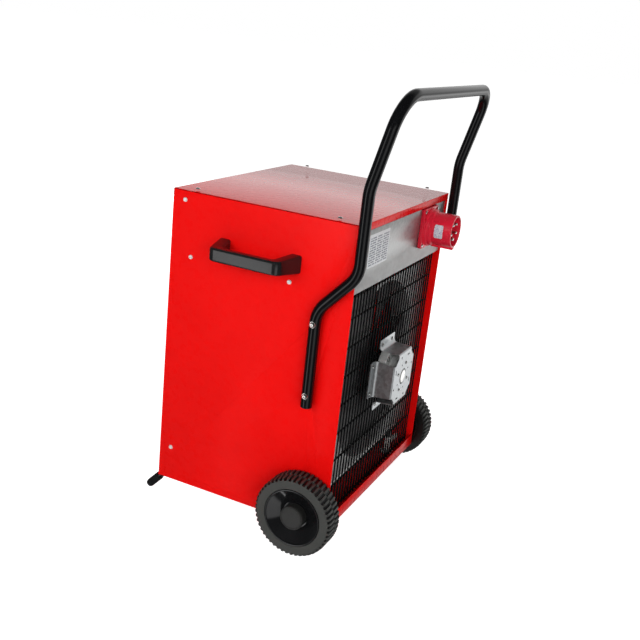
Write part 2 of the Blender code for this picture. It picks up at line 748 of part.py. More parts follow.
# ---- cooling circuit ----------------------------------------------------------------
def compressor(machine):
    """Hermetic compressor: a domed can welded to a three-cornered foot plate."""
    radius, top = COMPRESSOR_RADIUS, COMPRESSOR_TOP
    profile = [(0, 0.0665), (0.045, 0.0665), (0.062, 0.077), (radius, 0.092),
               (radius, top - 0.035), (0.058, top - 0.014), (0.032, top - 0.002), (0, top)]
    at = (*COMPRESSOR_AT, 0)
    can = make("compressor", lathe(profile, "Z", 24), "black_enamel", machine, at)
    corners = []
    for corner in mount_angles():
        for spread in (-0.16, 0, 0.16):
            reach = MOUNT_CIRCLE + (0.016 if spread == 0 else 0.013)
            corners.append((reach * math.cos(corner + spread), reach * math.sin(corner + spread)))
    combine(can, "foot_plate", prism(corners, "Z", 0.0625, 0.0685), "UNION", at)
    return can


def mount_angles():
    """Directions of the compressor's three feet."""
    return [2 * math.pi * corner / 3 + math.pi / 2 for corner in range(3)]


def compressor_mount(name, angle, machine):
    """Rubber grommet between the base pan and the compressor's foot plate."""
    x = COMPRESSOR_AT[0] + MOUNT_CIRCLE * math.cos(angle)
    y = COMPRESSOR_AT[1] + MOUNT_CIRCLE * math.sin(angle)
    bottom, top = FLOOR_Z + GAP, 0.0625 - GAP
    waist = (bottom + top) / 2
    profile = [(0, bottom), (0.012, bottom), (0.009, waist), (0.012, top), (0, top)]
    return make(name, lathe(profile, "Z", 12), "black_rubber", machine, (x, y, 0))


def coil(name, depth, machine):
    """Finned coil block, as wide as the intake."""
    front, back = depth
    return make(name, box((-COIL_HALF_WIDTH, front, COIL_BOTTOM),
                          (COIL_HALF_WIDTH, back, COIL_TOP)), "fin_aluminium", machine)


def copper_line(name, corners, bend, radius, machine):
    """Copper pipe with smooth bends."""
    path = rounded(corners, [bend] * (len(corners) - 2), steps=3)
    return make(name, tube(path, radius, 8), "copper", machine, smooth=50)


def copper_lines(machine):
    """Pipes that join the compressor, the coils and the filter drier."""
    x, y = COMPRESSOR_AT
    coil_end = COIL_HALF_WIDTH + GAP
    evaporator = sum(EVAPORATOR_Y) / 2
    condenser = sum(CONDENSER_Y) / 2
    side = SIDE_LINE_X
    top = COMPRESSOR_TOP + GAP
    copper_line("discharge_line",
                [(x, y, top), (x, y, 0.300), (0.205, y, 0.300), (0.205, condenser, 0.300),
                 (0.205, condenser, 0.500), (coil_end, condenser, 0.500)],
                0.013, LINE_RADIUS, machine)
    port = x + COMPRESSOR_RADIUS + GAP
    copper_line("suction_line",
                [(coil_end, evaporator, 0.240), (side, evaporator, 0.240), (side, y, 0.240),
                 (side, y, 0.190), (port, y, 0.190)], 0.016, 0.005, machine)
    copper_line("liquid_line",
                [(-coil_end, condenser, 0.260), (-side, condenser, 0.260),
                 (-side, DRIER_Y[0] - GAP, 0.260)], 0.016, LINE_RADIUS, machine)
    copper_line("capillary_line",
                [(-side, DRIER_Y[1] + GAP, 0.260), (-side, 0.065, 0.260), (-side, 0.065, 0.505),
                 (-side, evaporator, 0.505), (-coil_end, evaporator, 0.505)],
                0.012, 0.0022, machine)


def filter_drier(machine):
    """Copper cartridge that dries and filters the refrigerant."""
    front, back = DRIER_Y
    profile = [(0, front), (0.005, front), (0.011, front + 0.012), (0.011, back - 0.012),
               (0.005, back), (0, back)]
    return make("filter_drier", lathe(profile, "Y", 14), "copper", machine,
                (-SIDE_LINE_X, 0, 0.260), smooth=40)


# ---- condensate ---------------------------------------------------------------------
def drip_tray(machine):
    """Tray under both coils, with one outlet over the tank and one for the hose."""
    low, high = Vector(TRAY_LOW), Vector(TRAY_HIGH)
    tray = make("drip_tray", box(low, high), "grey_plastic", machine)
    wall = Vector((TRAY_WALL, TRAY_WALL, TRAY_WALL))
    combine(tray, "hollow", box(low + wall, high - wall + Vector((0, 0, 2 * TRAY_WALL))))
    for label, place in (("tank_outlet", TANK_OUTLET_AT), ("hose_outlet", HOSE_OUTLET_AT)):
        combine(tray, label, cylinder(0.005, "Z", low.z - 0.01, low.z + 0.01, sides=10),
                at=(*place, 0))
    return tray


def condensate_hose(machine):
    """Hose from the drip tray to the drain fitting, for draining without the tank."""
    x, y = HOSE_OUTLET_AT
    low = 0.112
    path = rounded([(x, y, TRAY_LOW[2] - GAP), (x, y, low), (x, DRAIN_Y, low),
                    (x, DRAIN_Y, 0.080 + GAP)], [0.022, 0.020], steps=4)
    return make("condensate_hose", tube(path, 0.006, 10), "clear_hose", machine, smooth=50)


def drain_fitting(machine):
    """White fitting that takes the hose's water out through the base pan."""
    seat = FLOOR_Z + GAP
    profile = [(0, 0.024), (0.0070, 0.024), (DRAIN_RADIUS, 0.030), (DRAIN_RADIUS, seat),
               (0.015, seat), (0.015, seat + 0.004), (DRAIN_RADIUS, seat + 0.006),
               (DRAIN_RADIUS, 0.074), (0.0065, 0.080), (0, 0.080)]
    return make("drain_fitting", lathe(profile, "Z", 16), "white_plastic", machine,
                (DRAIN_X, DRAIN_Y, 0), smooth=40)


def tank_runner(name, side, machine):
    """Angle on the base pan that the tank slides along."""
    web = TANK_HALF_WIDTH + 0.001
    ledge = TANK_BOTTOM - GAP
    foot = FLOOR_Z + GAP
    outline = [(web - 0.017, ledge - SHEET), (web, ledge - SHEET), (web, foot),
               (web + SHEET, foot), (web + SHEET, 0.090), (web, 0.090), (web, ledge),
               (web - 0.017, ledge)]
    outline = [(side * x, z) for x, z in outline]
    return make(name, prism(outline, "Y", -0.172, TANK_BACK_Y + 0.004), "galvanised", machine)


def condensate_tank(slider):
    """Open water tank with a front cover plate and a grip."""
    half, wall = TANK_HALF_WIDTH, TANK_WALL
    cover = -HALF_DEPTH - GAP
    tank = make("condensate_tank", box((-half, cover - 0.002, TANK_BOTTOM),
                                       (half, TANK_BACK_Y, TANK_TOP)), "grey_plastic", slider)
    combine(tank, "cover", box((-half - 0.010, cover - 0.003, TANK_BOTTOM - 0.001),
                               (half + 0.010, cover, TANK_TOP + 0.012)), "UNION")
    combine(tank, "grip", box((-0.055, cover - 0.013, TANK_TOP - 0.020),
                              (0.055, cover - 0.001, TANK_TOP - 0.010)), "UNION")
    combine(tank, "hollow", box((wall - half, cover + wall, TANK_BOTTOM + wall),
                                (half - wall, TANK_BACK_Y - wall, TANK_TOP + wall)))
    return tank


def tank_float(slider):
    """Foam float that rises with the water and stops the machine when the tank is full."""
    bottom = TANK_BOTTOM + TANK_WALL + 0.001
    profile = [(0, bottom), (0.016, bottom), (0.018, bottom + 0.002), (0.018, bottom + 0.018),
               (0.016, bottom + 0.020), (0, bottom + 0.020)]
    return make("tank_float", lathe(profile, "Z", 16), "white_plastic", slider)


def float_switch(machine):
    """Magnetic switch under the drip tray, over the float."""
    x, y = FLOAT_AT
    return make("float_switch", box((x - 0.014, y - 0.010, TANK_TOP + 0.003),
                                    (x + 0.014, y + 0.010, TRAY_LOW[2] - GAP)),
                "black_plastic", machine)


# ---- filter, controls and electrics -------------------------------------------------
def air_filter(slider):
    """Louvred frame that holds the filter mat in the intake opening."""
    reach = INTAKE_HALF_WIDTH - 0.001
    low, high = INTAKE_BOTTOM + 0.001, INTAKE_TOP - 0.001
    front, back = -HALF_DEPTH - 0.002, -0.189
    frame = make("air_filter", box((-reach, front, low), (reach, back, high)),
                 "black_plastic", slider)
    slots = 9
    border = 0.016
    pitch = (high - low - 2 * border) / slots
    for slot in range(slots):
        bottom = low + border + slot * pitch + 0.004
        combine(frame, f"slot_{slot}", box((border - reach, front - 0.01, bottom),
                                           (reach - border, back + 0.01, bottom + pitch - 0.008)))
    return frame


def humidistat_body(machine):
    """Humidistat behind the front panel, bored for the knob's spindle."""
    body = make("humidistat_body", box((-0.022, SHEET + GAP - HALF_DEPTH, -0.022),
                                       (0.022, -0.168, 0.022)), "grey_plastic", machine,
                (KNOB_X, 0, CONTROL_Z))
    combine(body, "bore", cylinder(0.0031, "Y", -0.21, -0.180, sides=16),
            at=(KNOB_X, 0, CONTROL_Z))
    return body


def humidistat_knob(joint):
    """Round knob with a pointer ridge, on a spindle."""
    face = -HALF_DEPTH - 0.0005
    profile = [(0, face - 0.017), (0.0150, face - 0.017), (0.0175, face - 0.014),
               (0.0190, face), (0.0030, face), (0.0030, -0.1815), (0, -0.1815)]
    knob = make("humidistat_knob", lathe(profile, "Y", 24), "black_plastic", joint)
    combine(knob, "pointer", box((-0.0018, face - 0.0185, 0.002), (0.0018, face - 0.010, 0.0165)),
            "UNION")
    return knob


def switch_housing(machine):
    """Frame of the on-off switch, open at the front for the rocker."""
    at = (SWITCH_X, 0, CONTROL_Z)
    housing = make("switch_housing", box((-0.0137, -0.2000, -0.0187), (0.0137, -0.178, 0.0187)),
                   "black_plastic", machine, at)
    combine(housing, "bezel", box((-0.0160, -0.2024, -0.0210), (0.0160, -0.2004, 0.0210)),
            "UNION", at)
    combine(housing, "neck", box((-0.0137, -0.2014, -0.0187), (0.0137, -0.199, 0.0187)),
            "UNION", at)
    combine(housing, "well", box((-0.0105, -0.2100, -0.0155), (0.0105, -0.188, 0.0155)), at=at)
    return housing


def rocker_switch(joint):
    """Rocker that tips about a cross pin, modelled in its off position."""
    outline = [(-0.0140, -0.0115), (-0.0088, 0.0), (-0.0140, 0.0115), (-0.0110, 0.0137),
               (0.0000, 0.0060), (0.0010, 0.0), (0.0000, -0.0060), (-0.0110, -0.0137)]
    rocker = make("rocker_switch", prism(outline, "X", -0.0098, 0.0098), "black_plastic", joint)
    rocker.rotation_euler.x = ROCKER_TILT
    return rocker


def hour_meter(machine):
    """Running-time counter set into the front panel."""
    at = (METER_X, 0, CONTROL_Z)
    meter = make("hour_meter", box((-0.0178, -0.2000, -0.0118), (0.0178, -0.172, 0.0118)),
                 "black_plastic", machine, at)
    combine(meter, "neck", box((-0.0178, -0.2014, -0.0118), (0.0178, -0.199, 0.0118)),
            "UNION", at)
    combine(meter, "bezel", box((-0.0230, -0.2030, -0.0160), (0.0230, -0.2004, 0.0160)),
            "UNION", at)
    return meter


def contactor(machine):
    """Contactor on the divider shelf, close to the power inlet."""
    return make("contactor", box((-0.190, 0.070, 0.5414), (-0.130, 0.140, 0.6250)),
                "grey_plastic", machine)


def run_capacitor(machine):
    """Motor capacitor lying in the electrical bay."""
    profile = [(0, -0.045), (0.018, -0.045), (0.020, -0.042), (0.020, 0.045), (0, 0.045)]
    return make("run_capacitor", lathe(profile, "X", 20), "white_plastic", machine,
                (0.060, 0.090, 0.5625), smooth=40)


def supply_cable(machine):
    """Cable from the back of the power inlet to the contactor."""
    plate = SERVICE_PLATE_Y - SHEET - GAP
    path = rounded([(INLET_X, plate, INLET_Z), (INLET_X, 0.170, INLET_Z),
                    (INLET_X, 0.170, 0.642), (-0.160, 0.110, 0.642), (-0.160, 0.110, 0.6254)],
                   [0.012, 0.012, 0.010], steps=3)
    return make("supply_cable", tube(path, 0.006, 8), "black_rubber", machine, smooth=50)


# ---- assembly -----------------------------------------------------------------------
def add_cabinet(machine):
    """Everything that is fixed to the cabinet."""
    base_pan(machine)
    side_panel("left_side_panel", 1, machine)
    side_panel("right_side_panel", -1, machine)
    top_cover(machine)
    front_panel(machine)
    rear_service_plate(machine)
    divider_shelf(machine)
    rear_guard(machine)
    motor_bracket(machine)
    fan_motor(machine)
    fan_shroud(machine)
    push_handle(machine)
    for side, label in ((1, "left"), (-1, "right")):
        for place, height in zip(("lower", "upper"), HANDLE_BOLT_HEIGHTS):
            handle_bolt(f"{label}_{place}_handle_bolt", side, height, machine)
        carry_handle(f"{label}_carry_handle", side, machine)
        foot_cap(f"{label}_foot_cap", side, machine)
        tank_runner(f"{label}_tank_runner", side, machine)
    axle(machine)
    front_foot(machine)


def add_internals(machine):
    """Power inlet, cooling circuit, water parts and electrics."""
    power_inlet_housing(machine)
    power_inlet_insert(machine)
    compressor(machine)
    for label, angle in zip(("rear", "right", "left"), mount_angles()):
        compressor_mount(f"{label}_compressor_mount", angle, machine)
    coil("evaporator_coil", EVAPORATOR_Y, machine)
    coil("condenser_coil", CONDENSER_Y, machine)
    copper_lines(machine)
    filter_drier(machine)
    drip_tray(machine)
    condensate_hose(machine)
    drain_fitting(machine)
    float_switch(machine)
    humidistat_body(machine)
    switch_housing(machine)
    hour_meter(machine)
    contactor(machine)
    run_capacitor(machine)
    supply_cable(machine)


def add_moving_parts(machine):
    """Pieces on their joints; each joint is an empty on its axis."""
    for side, label in ((1, "left"), (-1, "right")):
        hub = empty(f"{label}_wheel_axis", (0, AXLE_Y, AXLE_Z), machine)
        rim(f"{label}_rim", side, hub)
        tyre(f"{label}_tyre", side, hub)
        hub_cap(f"{label}_hub_cap", side, hub)
    fan_axis = empty("fan_axis", (0, 0, FAN_Z), machine)
    motor_shaft(fan_axis)
    fan_impeller(fan_axis)
    humidistat_knob(empty("knob_axis", (KNOB_X, 0, CONTROL_Z), machine))
    rocker_switch(empty("rocker_axis", (SWITCH_X, ROCKER_PIN_Y, CONTROL_Z), machine))
    tank_slider = empty("tank_slider", (0, 0, 0), machine)
    condensate_tank(tank_slider)
    tank_float(empty("float_axis", (*FLOAT_AT, 0), tank_slider))
    air_filter(empty("filter_slider", (0, 0, 0), machine))


def build():
    """Build the whole machine around one empty."""
    clear_scene()
    machine = empty("machine", (0, CENTRE_SHIFT, LIFT))
    add_cabinet(machine)
    add_internals(machine)
    add_moving_parts(machine)
    bpy.context.view_layer.update()


build()
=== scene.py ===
"""Looks of the wheeled dehumidifier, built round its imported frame.

Metres, +Z up. The rear, with the guard and the push handle, faces +Y; left is +X.
"""
import math

import bmesh
import bpy
from mathutils import Matrix, Vector


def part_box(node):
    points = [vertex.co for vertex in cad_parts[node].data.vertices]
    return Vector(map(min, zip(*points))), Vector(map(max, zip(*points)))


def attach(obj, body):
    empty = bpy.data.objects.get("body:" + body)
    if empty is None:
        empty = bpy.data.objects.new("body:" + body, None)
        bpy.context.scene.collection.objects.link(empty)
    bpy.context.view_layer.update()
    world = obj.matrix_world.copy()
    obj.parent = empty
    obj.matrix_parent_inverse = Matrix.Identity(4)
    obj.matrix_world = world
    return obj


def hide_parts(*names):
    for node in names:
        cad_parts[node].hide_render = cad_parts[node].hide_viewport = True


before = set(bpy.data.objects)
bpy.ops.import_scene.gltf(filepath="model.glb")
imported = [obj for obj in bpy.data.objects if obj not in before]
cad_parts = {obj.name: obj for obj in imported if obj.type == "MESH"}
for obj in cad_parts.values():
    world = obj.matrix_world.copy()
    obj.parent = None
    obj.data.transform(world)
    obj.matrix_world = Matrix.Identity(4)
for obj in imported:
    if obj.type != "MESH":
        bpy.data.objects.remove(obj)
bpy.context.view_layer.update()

# ---- places read from the frame -------------------------------------------------------
LID_LOW, LID_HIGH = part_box("top_cover")
BRACKET_LOW, BRACKET_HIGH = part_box("motor_bracket")
HALF_WIDTH = LID_HIGH.x
FRONT_Y = LID_LOW.y
MIDDLE_Y = (LID_LOW.y + LID_HIGH.y) / 2
LID_TOP = 0.664  # in the cabinet's own measure
LIFT = LID_HIGH.z - LID_TOP
FAN_Z = (BRACKET_LOW.z + BRACKET_HIGH.z) / 2
SHEET = 0.0015  # thickness of the shroud's sheet
HAIR = 0.0002  # gap that keeps neighbouring faces apart
SIDES = ((1, "left"), (-1, "right"))


def centre_of(node):
    """Middle of a CAD node's box."""
    low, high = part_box(node)
    return (low + high) / 2


def at(x, y, z):
    """A place in the cabinet's own measure, which the frame shifts along Y and lifts."""
    return Vector((x, y + MIDDLE_Y, z + LIFT))


def polar(radius, angle, height=0.0):
    """A point round local Z."""
    return Vector((radius * math.cos(angle), radius * math.sin(angle), height))


def turns(count):
    """Equal angles round a full turn."""
    return [2 * math.pi * step / count for step in range(count)]


def to_rear(x, y, z):
    """Matrix that lays a drawing's X and Y along X and Z, and its Z along +Y."""
    return Matrix(((1, 0, 0, x), (0, 0, 1, y), (0, 1, 0, z), (0, 0, 0, 1)))


# ---- mesh helpers -----------------------------------------------------------------------
def to_place(origin, direction):
    """Matrix that takes local +Z to a direction, at an origin."""
    turn = Vector(direction).to_track_quat("Z", "Y").to_matrix().to_4x4()
    return Matrix.Translation(origin) @ turn


def moved(bm, where):
    """The bmesh, taken through a matrix."""
    bmesh.ops.transform(bm, matrix=where, verts=bm.verts)
    return bm


def add(into, other, where=Matrix()):
    """Move one bmesh's geometry into another, through a matrix."""
    mesh = bpy.data.meshes.new("part")
    moved(other, where).to_mesh(mesh)
    into.from_mesh(mesh)
    bpy.data.meshes.remove(mesh)
    other.free()


def block(low, high, radius=0.0, segments=2):
    """Box between two corners, its edges rounded."""
    bm = bmesh.new()
    low, high = Vector(low), Vector(high)
    bmesh.ops.create_cube(bm, size=1.0)
    moved(bm, Matrix.LocRotScale((low + high) / 2, None, high - low))
    if radius:
        bmesh.ops.bevel(bm, geom=bm.edges[:], offset=radius, segments=segments, profile=0.5,
                        affect="EDGES", clamp_overlap=True)
    return bm


def lathe(profile, sides=48, where=Matrix()):
    """Turn (radius, height) points about local Z; a profile off the axis closes on itself."""
    bm = bmesh.new()
    rings = [[bm.verts.new(polar(radius, a, height)) for a in turns(sides)] if radius
             else [bm.verts.new((0, 0, height))] * sides for radius, height in profile]
    pairs = list(zip(rings, rings[1:]))
    if profile[0][0] > 0:
        pairs.append((rings[-1], rings[0]))
    for one, two in pairs:
        for step in range(sides):
            after = (step + 1) % sides
            corners = list(dict.fromkeys((one[step], one[after], two[after], two[step])))
            if len(corners) > 2:
                bm.faces.new(corners)
    return moved(bm, where)


def rod(radius, low, high, sides=20, where=Matrix()):
    """Plain cylinder between two heights on local Z."""
    return lathe([(0, low), (radius, low), (radius, high), (0, high)], sides, where)


def rounded(corners, radii, steps=8):
    """Path through the corners with an arc at each inner one."""
    corners = [Vector(corner) for corner in corners]
    path = [corners[0]]
    for before, corner, after, radius in zip(corners, corners[1:], corners[2:], radii):
        if radius == 0:
            path.append(corner)
            continue
        back = (before - corner).normalized()
        ahead = (after - corner).normalized()
        half = back.angle(ahead) / 2
        centre = corner + (back + ahead).normalized() * (radius / math.sin(half))
        trim = radius / math.tan(half)
        start = (corner + back * trim - centre).normalized()
        end = (corner + ahead * trim - centre).normalized()
        path.extend(centre + start.slerp(end, step / steps) * radius
                    for step in range(steps + 1))
    path.append(corners[-1])
    return path


def soft_profile(points, radius=0.0008, steps=3):
    """Lathe profile with its inner corners rounded."""
    path = rounded([(r, h, 0) for r, h in points], [radius] * (len(points) - 2), steps)
    return [(0 if abs(p.x) < 1e-7 else p.x, p.y) for p in path]


def rounded_outline(points, radius, steps=4):
    """Closed 2-D outline with every corner rounded."""
    ring = [Vector((*point, 0)) for point in points]
    out = []
    for index, corner in enumerate(ring):
        before, after = ring[index - 1], ring[(index + 1) % len(ring)]
        out.extend(rounded([before, corner, after], [radius], steps)[1:-1])
    return [(point.x, point.y) for point in out]


def rectangle(left, bottom, right, top, radius, steps=4):
    """Rectangle with rounded corners, as an outline."""
    corners = [(left, bottom), (right, bottom), (right, top), (left, top)]
    return rounded_outline(corners, radius, steps)


def prism(outline, low, high, where=Matrix(), edge=0.0):
    """Closed 2-D outline pushed along local Z, its end edges rounded."""
    bm = bmesh.new()
    base = [bm.verts.new((x, y, low)) for x, y in outline]
    face = bm.faces.new(base)
    pushed = bmesh.ops.extrude_face_region(bm, geom=[face])["geom"]
    verts = [item for item in pushed if isinstance(item, bmesh.types.BMVert)]
    bmesh.ops.translate(bm, vec=(0, 0, high - low), verts=verts)
    if edge:
        rims = [e for e in bm.edges if abs(e.verts[0].co.z - e.verts[1].co.z) < 1e-7]
        bmesh.ops.bevel(bm, geom=rims, offset=edge, segments=2, profile=0.5, affect="EDGES")
    return moved(bm, where)


def loft(rings, closed=False):
    """Skin over equal rings of points; the ends are capped unless the loft closes."""
    bm = bmesh.new()
    made = [[bm.verts.new(point) for point in ring] for ring in rings]
    pairs = list(zip(made, made[1:]))
    if closed:
        pairs.append((made[-1], made[0]))
    count = len(made[0])
    for one, two in pairs:
        for step in range(count):
            after = (step + 1) % count
            bm.faces.new((one[step], one[after], two[after], two[step]))
    if not closed:
        bm.faces.new(made[0])
        bm.faces.new(made[-1])
    return bm


def frames_along(path):
    """Point, side and up vectors along a path, without twist."""
    out, side = [], None
    for index, point in enumerate(path):
        before, after = path[max(index - 1, 0)], path[min(index + 1, len(path) - 1)]
        ahead = (after - before).normalized()
        side = ahead.orthogonal() if side is None else side
        side = (side - ahead * side.dot(ahead)).normalized()
        out.append((point, side, ahead.cross(side)))
    return out


def tube(path, radius, sides=24):
    """Round bar along a path."""
    return loft([[point + (side * math.cos(a) + other * math.sin(a)) * radius
                  for a in turns(sides)] for point, side, other in frames_along(path)])


def scratch(bm):
    """Short-lived object that takes over a bmesh."""
    mesh = bpy.data.meshes.new("scratch")
    bm.to_mesh(mesh)
    bm.free()
    made = bpy.data.objects.new("scratch", mesh)
    bpy.context.scene.collection.objects.link(made)
    return made


def settled(target, others=()):
    """The bmesh an object's modifiers give; the object and its helpers are removed."""
    bpy.context.view_layer.update()
    graph = bpy.context.evaluated_depsgraph_get()
    out = bmesh.new()
    out.from_mesh(target.evaluated_get(graph).to_mesh())
    target.evaluated_get(graph).to_mesh_clear()
    for helper in (target, *others):
        mesh = helper.data
        bpy.data.objects.remove(helper, do_unlink=True)
        bpy.data.meshes.remove(mesh)
    return out


def carved(bm, tools, operation="DIFFERENCE"):
    """The bmesh with each tool cut away or joined on."""
    for shape in (bm, *tools):
        bmesh.ops.recalc_face_normals(shape, faces=shape.faces)
    target, *helpers = [scratch(shape) for shape in (bm, *tools)]
    for helper in helpers:
        change = target.modifiers.new("carve", "BOOLEAN")
        change.operation = operation
        change.solver = "EXACT"
        change.object = helper
    return settled(target, helpers)


def sheet_metal(bm, thickness):
    """Give an open surface its sheet thickness, inwards."""
    helper = scratch(bm)
    thick = helper.modifiers.new("sheet", "SOLIDIFY")
    thick.thickness = thickness
    thick.offset = -1
    thick.use_even_offset = True
    return settled(helper)


def piece(name, bm, finish, body="chassis", stands_for=(), smooth=35):
    """A named visual piece that rides on a body."""
    bmesh.ops.remove_doubles(bm, verts=bm.verts, dist=1e-6)
    bmesh.ops.recalc_face_normals(bm, faces=bm.faces)
    mesh = bpy.data.meshes.new(name)
    bm.to_mesh(mesh)
    bm.free()
    mesh.shade_smooth()
    mesh.set_sharp_from_angle(angle=math.radians(smooth))
    mesh.materials.append(FINISH[finish])
    made = bpy.data.objects.new(name, mesh)
    bpy.context.scene.collection.objects.link(made)
    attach(made, body)
    if stands_for:
        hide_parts(*stands_for)


def turned(name, points, finish, where, soft=0.0005, sides=48, body="chassis", stands_for=(),
           steps=3, smooth=35):
    """A piece turned from a profile whose inner corners are rounded."""
    piece(name, lathe(soft_profile(points, soft, steps), sides, where), finish, body,
          stands_for, smooth)


def dress(node, finish, bevel, segments):
    """Give a CAD node its finish and softened edges, its shape otherwise kept."""
    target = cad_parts[node]
    target.data.materials.clear()
    target.data.materials.append(FINISH[finish])
    if bevel:
        weld = target.modifiers.new("weld", "WELD")
        weld.merge_threshold = 0.00001
        edge = target.modifiers.new("edges", "BEVEL")
        edge.width = bevel
        edge.segments = segments
        edge.limit_method = "ANGLE"
        edge.angle_limit = math.radians(40)
        edge.harden_normals = True
    target.data.shade_smooth()
    target.data.set_sharp_from_angle(angle=math.radians(35))


# ---- materials --------------------------------------------------------------------------
class Graph:
    """The nodes of a material or a world, with short ways to add and join them."""

    def __init__(self, owner, place):
        owner.use_nodes = True
        self.nodes = owner.node_tree.nodes
        self.links = owner.node_tree.links
        self.place = self.nodes.new("ShaderNodeTexCoord").outputs[place]

    def add(self, kind, values=(), **settings):
        """A node with its settings, and its inputs set or joined by name."""
        node = self.nodes.new(kind)
        for key, value in settings.items():
            setattr(node, key, value)
        for key, value in dict(values).items():
            self.feed(node.inputs[key], value)
        return node

    def feed(self, socket, value):
        """Join an output to a socket, or set the socket's value."""
        if isinstance(value, bpy.types.NodeSocket):
            self.links.new(value, socket)
        else:
            socket.default_value = value

    def noise(self, scale, detail=3.0, roughness=0.55, stretch=None):
        """Noise over the object, stretched along an axis if asked."""
        where = self.place
        if stretch:
            where = self.add("ShaderNodeMapping", {"Vector": where, "Scale": stretch}).outputs[0]
        values = {"Vector": where, "Scale": scale, "Detail": detail, "Roughness": roughness}
        return self.add("ShaderNodeTexNoise", values).outputs["Fac"]

    def spread(self, value, low, high, start=0.3, end=0.7, kind="LINEAR"):
        """Map a value between start and end on to a range."""
        values = {"Value": value, "From Min": start, "From Max": end,
                  "To Min": low, "To Max": high}
        return self.add("ShaderNodeMapRange", values, interpolation_type=kind).outputs[0]

    def blend(self, factor, one, two):
        """Mix two colours."""
        node = self.nodes.new("ShaderNodeMix")
        node.data_type = "RGBA"
        self.feed(node.inputs["Factor"], factor)
        for socket, value in ((node.inputs[6], one), (node.inputs[7], two)):
            self.feed(socket, value if isinstance(value, bpy.types.NodeSocket) else (*value, 1))
        return node.outputs[2]

    def maths(self, operation, one, two=0.0):
        """One arithmetic node."""
        node = self.add("ShaderNodeMath", operation=operation)
        self.feed(node.inputs[0], one)
        self.feed(node.inputs[1], two)
        return node.outputs[0]

    def bump(self, height, distance, strength):
        """A bump of the given depth in metres."""
        values = {"Height": height, "Distance": distance, "Strength": strength}
        return self.add("ShaderNodeBump", values).outputs["Normal"]


class Surface(Graph):
    """A new material and its nodes."""

    def __init__(self, name, slot):
        self.material = bpy.data.materials.new(name)
        self.material["slot"] = slot
        super().__init__(self.material, "Object")

    def set(self, **values):
        """Feed the Principled shader's inputs; underscores stand for spaces."""
        for key, value in values.items():
            self.feed(self.nodes["Principled BSDF"].inputs[key.replace("_", " ")], value)


def scaled(colour, share):
    """A colour made lighter or darker, kept within range."""
    return tuple(min(1.0, channel * share) for channel in colour)


def moulded(name, slot, colour, roughness, grain=0.00004, mottle=0.12, ior=1.47):
    """Moulded plastic or rubber: fine grain, slight colour and gloss variation."""
    g = Surface(name, slot)
    broad = g.noise(22, 4)
    tone = g.blend(g.spread(broad, 0, 1), scaled(colour, 1 - mottle), scaled(colour, 1 + mottle))
    scuffs = g.noise(160, 5, 0.7)
    g.set(Base_Color=tone, IOR=ior,
          Roughness=g.spread(scuffs, roughness * 0.85, min(1.0, roughness * 1.2)))
    g.set(Normal=g.bump(g.noise(1400, 2), grain, 0.5))
    return g.material


def tread_rubber(middle):
    """Tyre rubber with painted shade: near black in the grooves, satin where the lugs meet the
    side wall.
    """
    g = Surface("tyre_rubber", "tyre_rubber")
    split = g.add("ShaderNodeSeparateXYZ", {0: g.place})
    rise = g.maths("SUBTRACT", split.outputs["Z"], middle.z)
    along = g.maths("SUBTRACT", split.outputs["Y"], middle.y)
    radius = g.maths("SQRT", g.maths("ADD", g.maths("MULTIPLY", rise, rise),
                                     g.maths("MULTIPLY", along, along)))
    across = g.maths("ABSOLUTE", split.outputs["X"])
    reach = abs(middle.x)
    # painted shade: masks for the grooves between the lugs, where the base colour goes near black
    inside = g.spread(across, 1.0, 0.0, reach + 0.0236, reach + 0.0243)
    groove = g.maths("MULTIPLY", inside, g.spread(radius, 1.0, 0.0, 0.0790, 0.0815))
    edge = g.maths("MULTIPLY", g.spread(across, 0, 1, reach + 0.018, reach + 0.021),
                   g.spread(radius, 0, 1, 0.0792, 0.0806))
    rubber = g.blend(g.noise(30, 4), (0.036, 0.037, 0.034), (0.045, 0.047, 0.043))
    # painted shade: the grooves take a near-black colour
    g.set(Base_Color=g.blend(groove, rubber, (0.004, 0.004, 0.004)),
          Roughness=g.spread(edge, 0.58, 0.30, 0, 1))
    g.set(Normal=g.bump(g.noise(900, 2), 0.00010, 0.5))
    return g.material


def red_paint(name="red_powder_coat", sheen=1.0):
    """Gloss powder coat: orange peel, a clear sheen that shows at a low angle."""
    g = Surface(name, "red_paint")
    base = (0.80, 0.0040, 0.0036)
    tone = g.blend(g.spread(g.noise(9, 4), 0, 1), scaled(base, 0.965), scaled(base, 1.03))
    low_angle = g.add("ShaderNodeLayerWeight", {"Blend": 0.5}).outputs["Facing"]
    normal = g.add("ShaderNodeNewGeometry").outputs["Normal"]
    upward = g.spread(g.add("ShaderNodeSeparateXYZ", {0: normal}).outputs["Z"], 0.12, 1, 0.3, 0.8)
    peel = g.bump(g.noise(420, 2, 0.4), 0.00003, 0.05)
    g.set(Base_Color=tone, IOR=1.14, Normal=peel, Coat_Normal=peel, Coat_IOR=1.5,
          Roughness=g.spread(g.noise(70, 3), 0.24, 0.34), Coat_Roughness=0.09,
          Coat_Weight=g.maths("MULTIPLY", upward, g.spread(low_angle, 0.0, sheen, 0.34, 0.66)))
    return g.material


